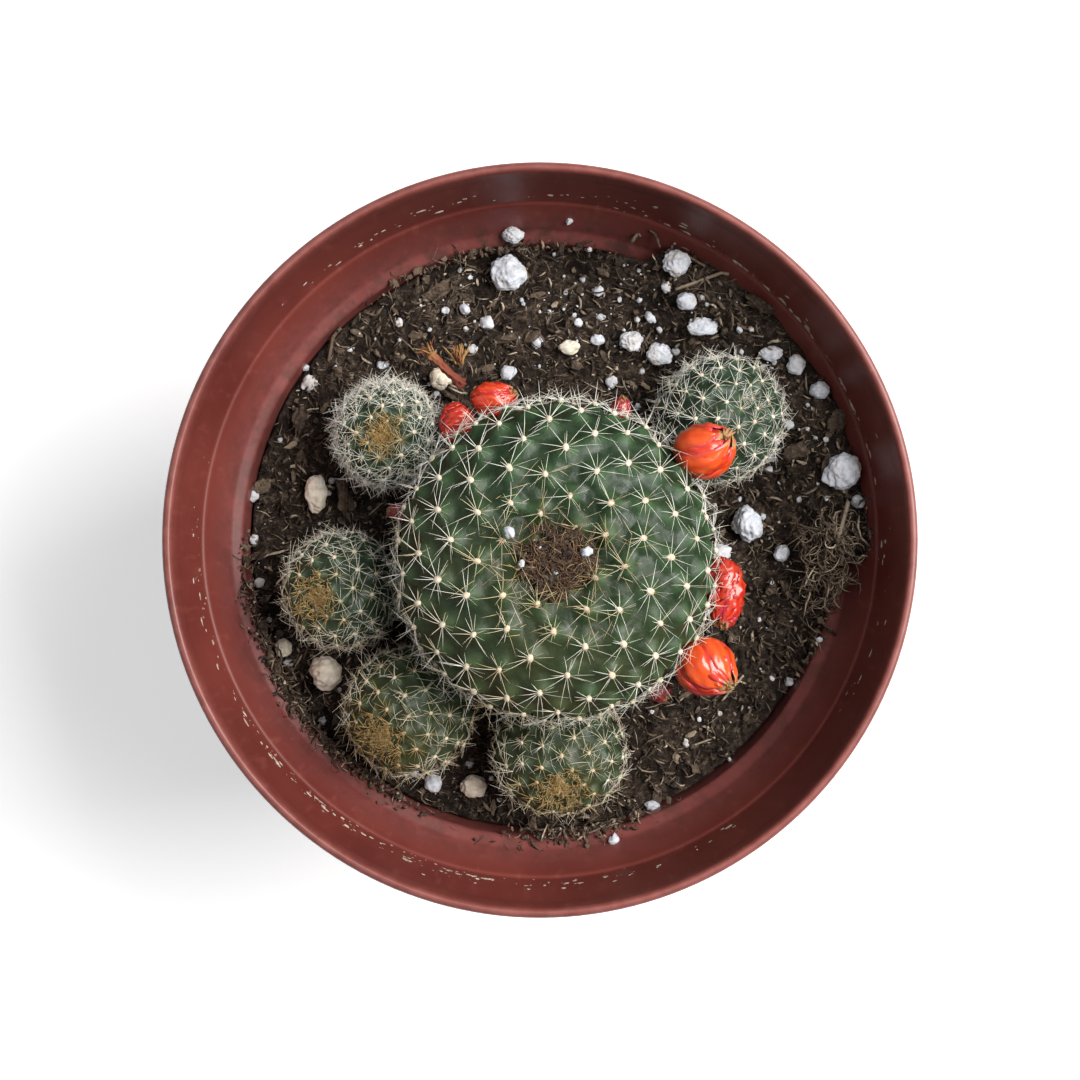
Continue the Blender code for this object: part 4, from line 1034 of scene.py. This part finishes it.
def add_crown_disc(head, dress, pads):
    """The felt from which an offset's youngest spines grow."""
    place, normal, away = (part[0] for part in head.points(np.array([0.01]), np.array([0.0])))
    across = np.cross(normal, away)
    dome, faces = lump(3, 77.0 + head.radius, 0.2, 2.4)
    body = dome * (0.2 * head.radius, 0.18 * head.radius, 0.45)
    verts = place + normal * 0.05 + body[:, :1] * away + body[:, 1:2] * across + body[:, 2:] * normal
    pads.add(verts, faces, tone=dress[7] * 0.95, side=0.6)


# number, innermost and outermost angle from the crown in degrees, shortest and longest, thickness
TUFTS = {"main_head": (150, 10, 30, 2.0, 4.4, 0.05), "offset_upper_right": (60, 0, 24, 0.8, 1.8, 0.045)}
OFFSET_TUFT = (330, 0, 24, 0.7, 1.6, 0.055)


def add_crown_tuft(head, dress, draw, paths, radii, tones):
    """Young spines of the crown: short and dense in an offset, long and crossed in the main head."""
    count, inner, outer, shortest, longest, thick = TUFTS.get(head.name, OFFSET_TUFT)
    for _ in range(count):
        polar = math.radians(inner + (outer - inner) * draw.uniform(0.0, 1.0) ** 0.8)
        azimuth = draw.uniform(0, 2 * math.pi)
        place, normal, away = (part[0] for part in head.points(np.array([polar]), np.array([azimuth])))
        turn = draw.uniform(0, 2 * math.pi)
        across = np.cross(normal, away)
        flat = away * math.cos(turn) + across * math.sin(turn)
        rise = draw.uniform(0.2, 1.2)
        aim = flat * math.cos(rise) + normal * math.sin(rise)
        bend = normal * draw.uniform(-0.3, 0.0) + flat * draw.uniform(-0.3, 0.3)
        reach_out = draw.uniform(shortest, longest)
        paths.append([place + normal * 0.25 + (aim * s + bend * s * s) * reach_out for s in SPINE_STEPS])
        radii.append([thick * share for share in SPINE_TAPER])
        tones.append(min(max(dress[7] * draw.uniform(0.55, 1.0), 0.0), 1.0))


def add_wool(head, dress, draw, paths, radii, tones):
    """Long thin curved hairs that tangle round the offset."""
    amount = {"main_head": 420, "offset_upper_left": 700, "offset_upper_right": 380, "offset_left": 330, "offset_lower_left": 260,
              "offset_bottom": 180}[head.name]
    for _ in range(amount):
        polar = math.radians(draw.uniform(*((78, 118) if head.name == "main_head" else (38, 112))))
        azimuth = draw.uniform(0, 2 * math.pi)
        place, normal, away = (part[0] for part in head.points(np.array([polar]), np.array([azimuth])))
        if place[2] < 66.5:
            continue
        across = np.cross(normal, away)
        turn = draw.uniform(0, 2 * math.pi)
        flat = away * math.cos(turn) + across * math.sin(turn)
        side = np.cross(normal, flat)
        rise = draw.uniform(0.15, 0.75)
        aim = flat * math.cos(rise) + normal * math.sin(rise)
        bend = side * draw.uniform(-0.45, 0.45) + normal * draw.uniform(-0.3, 0.1)
        reach_out = draw.uniform(1.8, 3.8)
        paths.append([place + (aim * s + bend * s * s) * reach_out for s in SPINE_STEPS])
        radii.append([0.034 * share for share in (1.0, 1.0, 0.8, 0.5)])
        tones.append(min(max(dress[9] * 0.6 + draw.gauss(0.05, 0.08), 0.0), 1.0))


# ---------------------------------------------------------------- flowers

# name, direction and rise of the axis in degrees, tone, how shrivelled
FLOWERS = (
    ("bud_top_left", 236, 4, 0.36, 0.6),
    ("bud_top_middle", 22, 8, 0.2, 0.55),
    ("bud_upper_right", 35, 38, 0.0, 0.15),
    ("bud_right", 255, 6, 0.42, 0.9),
    ("bud_lower_right", 322, 26, 0.0, 0.2),
    ("bud_small_lower", 310, 20, 0.85, 0.5),
    ("bud_small_top", 66, 25, 0.8, 0.5),
    ("bud_small_left", 165, 20, 0.85, 0.5),
)


def add_flower(name, direction, rise, tone, shrivelled, seed):
    """A closed wilted flower: wrapped, creased tepals round a core, with dry ends at its mouth."""
    draw = random.Random(seed)
    low, high = (np.array(corner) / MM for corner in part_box(name))
    turn, lift = math.radians(direction), math.radians(rise)
    along = np.array((math.cos(lift) * math.cos(turn), math.cos(lift) * math.sin(turn), math.sin(lift)))
    side = unit(np.cross(along, (0.0, 0.0, 1.0)))
    ahead = np.cross(along, side)
    heap = Heap()
    tepals = 11
    rows, half = 18, 9
    for i in range(tepals):
        inner = i % 2
        centre = 2 * math.pi * i / tepals + draw.uniform(-0.15, 0.15)
        end = draw.uniform(0.9, 1.06) - 0.06 * inner
        broad = draw.uniform(0.48, 0.6)
        fold = draw.uniform(0.4, 0.9) * (0.3 + shrivelled)
        s, t = np.meshgrid(np.linspace(0.0, 1.0, rows), np.linspace(-1.0, 1.0, half), indexing="ij")
        s, t = s.ravel(), t.ravel()
        up = 0.02 + s * end
        swell = np.sin(np.pi * np.clip(0.07 + 0.89 * up, 0, 1) ** 0.84) ** 0.6
        width = broad * (1.0 - 0.85 * np.clip((s - 0.75) / 0.25, 0, 1) ** 2)
        azimuth = centre + t * width + 0.8 * up
        ripple = np.array([noise.noise(Vector((a * 1.7, b * 2.4, seed + i * 1.3))) for a, b in zip(t, s * 3)])
        crumple = np.array([noise.noise(Vector((a * 3.9, b * 5.3, seed + i * 2.1))) for a, b in zip(t, s * 3)])
        reach = swell * (1.0 - 0.045 * inner) + 0.035 * (1.0 - t * t) * swell - 0.03
        reach += 0.42 * max(shrivelled - 0.25, 0.0) * crumple * swell
        reach += fold * 0.2 * ripple * (0.3 + up) + 0.06 * np.cos(t * math.pi * 3) * up * fold
        reach = np.maximum(reach, 0.03)
        outer = np.stack([reach * np.cos(azimuth), reach * np.sin(azimuth), up * 2.0 - 1.0 + 0.05 * ripple], -1)
        thin = outer * (0.93, 0.93, 0.985)
        verts = np.concatenate([outer, thin])
        faces = sheet_faces(rows, half)
        vein = np.abs(np.sin(t * 8.5 + 0.6 * ripple))
        values = {"tone": np.clip(tone + 0.25 * inner + 0.2 * (1 - up), 0, 1), "edge": np.abs(t) ** 1.5 * (0.4 + up),
                  "tip": up ** 3, "vein": vein}
        heap.add(verts, faces, **{key: np.concatenate([numbers, numbers]) for key, numbers in values.items()})
    core, core_faces = lump(3, seed, 0.25, 2.0)
    heap.add(core * (0.72, 0.72, 0.86), core_faces, tone=min(tone + 0.6, 1.0), edge=0.4, tip=core[:, 2].clip(0, 1) ** 2,
             vein=0.5)
    wisps, wisp_radii = [], []
    for _ in range(9):
        turn = draw.uniform(0, 2 * math.pi)
        out = np.array((math.cos(turn), math.sin(turn), 0.0)) * draw.uniform(0.05, 0.3)
        bend = np.array((draw.uniform(-0.2, 0.2), draw.uniform(-0.2, 0.2), 0.0))
        start = np.array((0.0, 0.0, 0.75))
        wisps.append([start + out * s + bend * s * s + np.array((0, 0, 0.3 * s)) for s in (0, 0.25, 0.5, 0.75, 1.0)])
        wisp_radii.append([0.07, 0.07, 0.06, 0.05, 0.02])
    verts, faces = strands(wisps, wisp_radii, 4, 0.5)
    heap.add(verts, faces, tone=0.4, edge=0.2, tip=1.0, vein=0.3)
    local = np.concatenate(heap.verts)
    placed = local[:, :1] * side + local[:, 1:2] * ahead + local[:, 2:] * along
    own_low, own_high = placed.min(0), placed.max(0)
    margin = 0.03 * (high - low)
    placed = (placed - own_low) / (own_high - own_low) * (high - low + 2 * margin) + low - margin
    heap.verts = [placed]
    slot = "dark_tepals" if "small" in name else "fresh_tepals"
    heap.made(name + "_tepals", LOOKS["tepals"], replaces=(name,), slot=slot)


def sheet_faces(rows, columns):
    """Triangles of a thin sheet: an outer and an inner grid, joined round their edge."""
    row = np.arange(rows - 1)[:, None] * columns
    here = (row + np.arange(columns - 1)[None, :]).ravel()
    outer = np.concatenate([np.stack([here, here + 1, here + columns + 1], -1),
                            np.stack([here, here + columns + 1, here + columns], -1)])
    shift = rows * columns
    inner = outer[:, ::-1] + shift
    top = list(range(columns))
    right = [columns * i + columns - 1 for i in range(rows)]
    bottom = [columns * (rows - 1) + i for i in range(columns)][::-1]
    left = [columns * i for i in range(rows)][::-1]
    loop = top[:-1] + right[:-1] + bottom[:-1] + left[:-1]
    rim = []
    for i, corner in enumerate(loop):
        on = loop[(i + 1) % len(loop)]
        rim += [(corner, on + shift, on), (corner, corner + shift, on + shift)]
    return np.concatenate([outer, inner, np.array(rim)])


def add_withered_flower():
    """Dry flower tube, twisted and furrowed, with a torn tip, and a dry tuft beside it."""
    draw = random.Random(70)
    low, high = (np.array(corner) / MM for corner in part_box("withered_flower"))
    path = np.array([(-11.2, 22.3, 76.0), (-12.4, 23.4, 77.4), (-13.9, 24.8, 78.3), (-15.6, 26.4, 78.6)])
    path += (low + high) / 2 - np.array([(-13.1, 23.6, 77.5)])
    fine = np.linspace(0, 3, 26)
    spine = np.stack([np.interp(fine, range(4), path[:, k]) for k in range(3)], -1)
    spine[1:-1] = (spine[:-2] + spine[1:-1] + spine[2:]) / 3
    radii = np.interp(fine, range(4), (0.8, 0.56, 0.48, 0.66))
    heap = Heap()
    sides = 24
    tangent = unit(np.gradient(spine, axis=0))
    side = unit(np.cross(tangent, (0.0, 0.0, 1.0)))
    ahead = np.cross(tangent, side)
    turn = 2 * math.pi * np.arange(sides) / sides
    rings = []
    for i, middle in enumerate(spine):
        furrow = 1.0 + 0.22 * np.cos(turn * 5 + i * 0.3) + 0.45 * np.array(
            [noise.noise(Vector((math.cos(a) * 2, math.sin(a) * 2, i * 0.45))) for a in turn])
        reach = (radii[i] * furrow)[:, None]
        rings.append(middle + reach * (np.cos(turn)[:, None] * side[i] + np.sin(turn)[:, None] * ahead[i]))
    verts = np.concatenate([[spine[0]], *rings, [spine[-1]]])
    share = np.concatenate([[0.0], np.repeat(fine / 3, sides), [1.0]])
    heap.add(verts, closed_grid(len(rings), sides), tone=0.1 + 0.55 * share)
    paths, widths, tones = [], [], []
    for _ in range(34):
        aim = unit(tangent[-1] + np.array([draw.gauss(0, 0.45) for _ in range(3)]))
        start = spine[-2] + np.array([draw.uniform(-0.5, 0.5) for _ in range(3)])
        bend = np.array([draw.gauss(0, 0.5) for _ in range(3)])
        reach = draw.uniform(0.8, 1.9)
        paths.append([start + aim * reach * s + bend * s * s for s in (0, 0.3, 0.6, 0.85, 1.0)])
        widths.append([0.13, 0.12, 0.1, 0.07, 0.03])
        tones.append(draw.uniform(0.2, 1.0))
    tuft_x, tuft_y = at_pixel(460, 356, 77.0)
    for _ in range(46):
        start = np.array((tuft_x + draw.uniform(-0.5, 0.5), tuft_y - 1.2, 75.6 + draw.uniform(0, 1.2)))
        aim = unit(np.array((draw.gauss(0, 0.28), 1.0, draw.gauss(0.15, 0.3))))
        bend = np.array([draw.gauss(0, 0.4) for _ in range(3)])
        reach = draw.uniform(1.6, 3.0)
        paths.append([start + aim * reach * s + bend * s * s for s in (0, 0.3, 0.6, 0.85, 1.0)])
        widths.append([0.14, 0.14, 0.12, 0.1, 0.04])
        tones.append(draw.uniform(0.5, 0.9))
    verts, faces = strands(paths, widths, 4, 0.4)
    heap.add(verts, faces, tone=np.repeat(tones, 20))
    heap.made("withered_flower_tube", LOOKS["dry"], replaces=("withered_flower",), slot="dry_flower")


# ---------------------------------------------------------------- crown

def crown_height(x, y):
    head = HEAD["main_head"]
    away = math.hypot(x - head.centre[0], y - head.centre[1])
    polar = np.linspace(0, math.pi / 2, 200)
    radius, height = head.section(polar)
    return float(np.interp(away, radius, height)) + head.centre[2]


def litter_spot(draw):
    """A place in the ragged patch of litter, and how far out it lies, from 0 to 1."""
    while True:
        turn, share = draw.uniform(0, 2 * math.pi), math.sqrt(draw.uniform(0, 1))
        x, y = 5.9 * share * math.cos(turn), 5.0 * share * math.sin(turn)
        ragged = noise.noise(Vector((x * 0.5, y * 0.5, 5.0))) * 1.2 - 0.2 * math.cos(turn - 0.7)
        if share + ragged < 0.86:
            return 1.9 + x, -2.9 + y, share


def add_crown_litter():
    draw = random.Random(21)
    heap = Heap()
    shapes = [lump(1, 200 + seed, 0.5, 1.5) for seed in range(12)]
    for i in range(620):
        x, y, share = litter_spot(draw)
        size = min(0.18 + draw.expovariate(4.5), 0.75)
        verts, faces = shapes[i % 12]
        scale = (draw.uniform(0.8, 1.5), draw.uniform(0.5, 0.9), draw.uniform(0.3, 0.7))
        height = crown_height(x, y) + 0.2 + 2.0 * (1.0 - share ** 2) * draw.uniform(0.0, 1.0)
        heap.add(turned(verts * scale, draw, 0.9) * size + (x, y, height), faces,
                 tone=min(max(draw.gauss(0.22, 0.13), 0.0), 0.6))
    heap.made("crown_crumbs", LOOKS["shreds"], replaces=("crown_litter",), slot="peat", sharp=30)
    paths, radii, tones = [], [], []
    for _ in range(560):
        x, y, share = litter_spot(draw)
        height = crown_height(x, y) + 0.4 + 2.2 * (1.0 - share ** 2) * draw.uniform(0.1, 1.0)
        paths.append(curl(draw, x, y, height, draw.uniform(0.9, 3.4), 0.5, 6, 0.45))
        thick = draw.choice((0.03, 0.045, 0.08))
        radii.append([thick * part for part in (0.6, 1.0, 1.0, 0.9, 0.7, 0.4)])
        tones.append(min(max(draw.gauss(0.5, 0.25), 0.0), 1.0))
    verts, faces = strands(paths, radii, 3, 0.6)
    piece("crown_fibres", verts, faces, LOOKS["coir"], ("crown_litter",), "peat", {"tone": np.repeat(tones, 18)})
    bits = Heap()
    for number, (px, py, wide) in enumerate(((510, 533, 12), (587, 552, 11), (522, 564, 7), (556, 573, 5), (540, 548, 4))):
        x, y = at_pixel(px, py, 95.0)
        verts, faces = lump(3, 300 + number, 0.4)
        size = wide / 7.5 / 2.0
        bits.add(turned(verts * (1.15, 0.85, 0.8), draw, 0.4) * size + (x, y, crown_height(x, y) + 1.6), faces, tone=0.0)
    bits.made("crown_grains", LOOKS["perlite"], slot="perlite")


def coir_look():
    look = Look("coir", 0.85)
    colour = look.ramp(look.value("tone"), (0.0, (0.02, 0.009, 0.006)), (0.5, (0.09, 0.042, 0.022)), (1.0, (0.3, 0.18, 0.09)))
    light = look.spread(look.noise(1500.0, 3.0), 0.5, 0.8, 0.0, 0.4)
    colour = look.mix(light, colour, (0.2, 0.13, 0.075))
    return look.finish(colour, None, ((look.noise(3000.0, 2.0), 0.6, 0.1),))


# ---------------------------------------------------------------- stage

def add_stage():
    mesh = bpy.data.meshes.new("floor")
    half = 8.0
    mesh.from_pydata([(-half, -half, 0), (half, -half, 0), (half, half, 0), (-half, half, 0)], [], [(0, 1, 2, 3)])
    mesh.materials.append(floor_look())
    floor = bpy.data.objects.new("floor", mesh)
    bpy.context.scene.collection.objects.link(floor)
    world = bpy.data.worlds.new("studio")
    bpy.context.scene.world = world
    world.use_nodes = True
    sky = world.node_tree.nodes["Background"]
    sky.inputs["Color"].default_value = (0.93, 0.96, 1.0, 1.0)
    sky.inputs["Strength"].default_value = 0.27
    add_light("key", (0.33, 0.1, 0.5), 0.38, 6.6, (1.0, 0.98, 0.95))
    add_light("fill", (-0.4, 0.1, 0.6), 0.6, 0.5, (0.95, 0.98, 1.0))


def add_light(name, place, size, energy, colour):
    lamp = bpy.data.lights.new(name, "AREA")
    lamp.size = size
    lamp.energy = energy
    lamp.color = colour
    item = bpy.data.objects.new(name, lamp)
    item.location = place
    item.rotation_mode = "QUATERNION"
    item.rotation_quaternion = (Vector((0.0, 0.0, 0.06)) - Vector(place)).to_track_quat("-Z", "Y")
    bpy.context.scene.collection.objects.link(item)


def add_camera():
    camera = bpy.data.cameras.new("camera")
    camera.sensor_width = 36.0
    camera.lens = 36.0 * CAMERA_OVER_RIM / (1080.0 / PIXELS_PER_MM)
    item = bpy.data.objects.new("camera", camera)
    item.location = (0.0, 0.0, (POT_HEIGHT + CAMERA_OVER_RIM) * MM)
    bpy.context.scene.collection.objects.link(item)
    bpy.context.scene.camera = item
    bpy.context.scene.view_settings.view_transform = "Standard"


add_camera()
add_stage()
LOOKS = {
    "main_flesh": flesh_look("main_flesh", (0.042, 0.09, 0.032), (0.014, 0.042, 0.012), (0.08, 0.15, 0.08)),
    "pup_flesh": flesh_look("pup_flesh", (0.045, 0.09, 0.044), (0.016, 0.042, 0.018), (0.085, 0.15, 0.115)),
    "felt": felt_look(), "spines": spine_look(), "tepals": tepal_look(), "dry": dry_look(),
    "perlite": perlite_look(), "pebble": pebble_look(), "shreds": shred_look(), "coir": coir_look(),
}
HEAD = {row[0]: Head(*row) for row in HEADS}
add_pot()
add_minerals()
add_soil()
add_crumbs()
add_fibres()
add_flakes()
add_straws()
add_grains()
add_stones()
for number, (name, head) in enumerate(HEAD.items()):
    dress = DRESS[name]
    add_flesh(head, dress[0], dress[1], dress[2], dress[6])
    add_areoles_and_spines(head, dress, 500 + number)
for number, flower in enumerate(FLOWERS):
    add_flower(*flower, 600 + number)
add_withered_flower()
add_crown_litter()
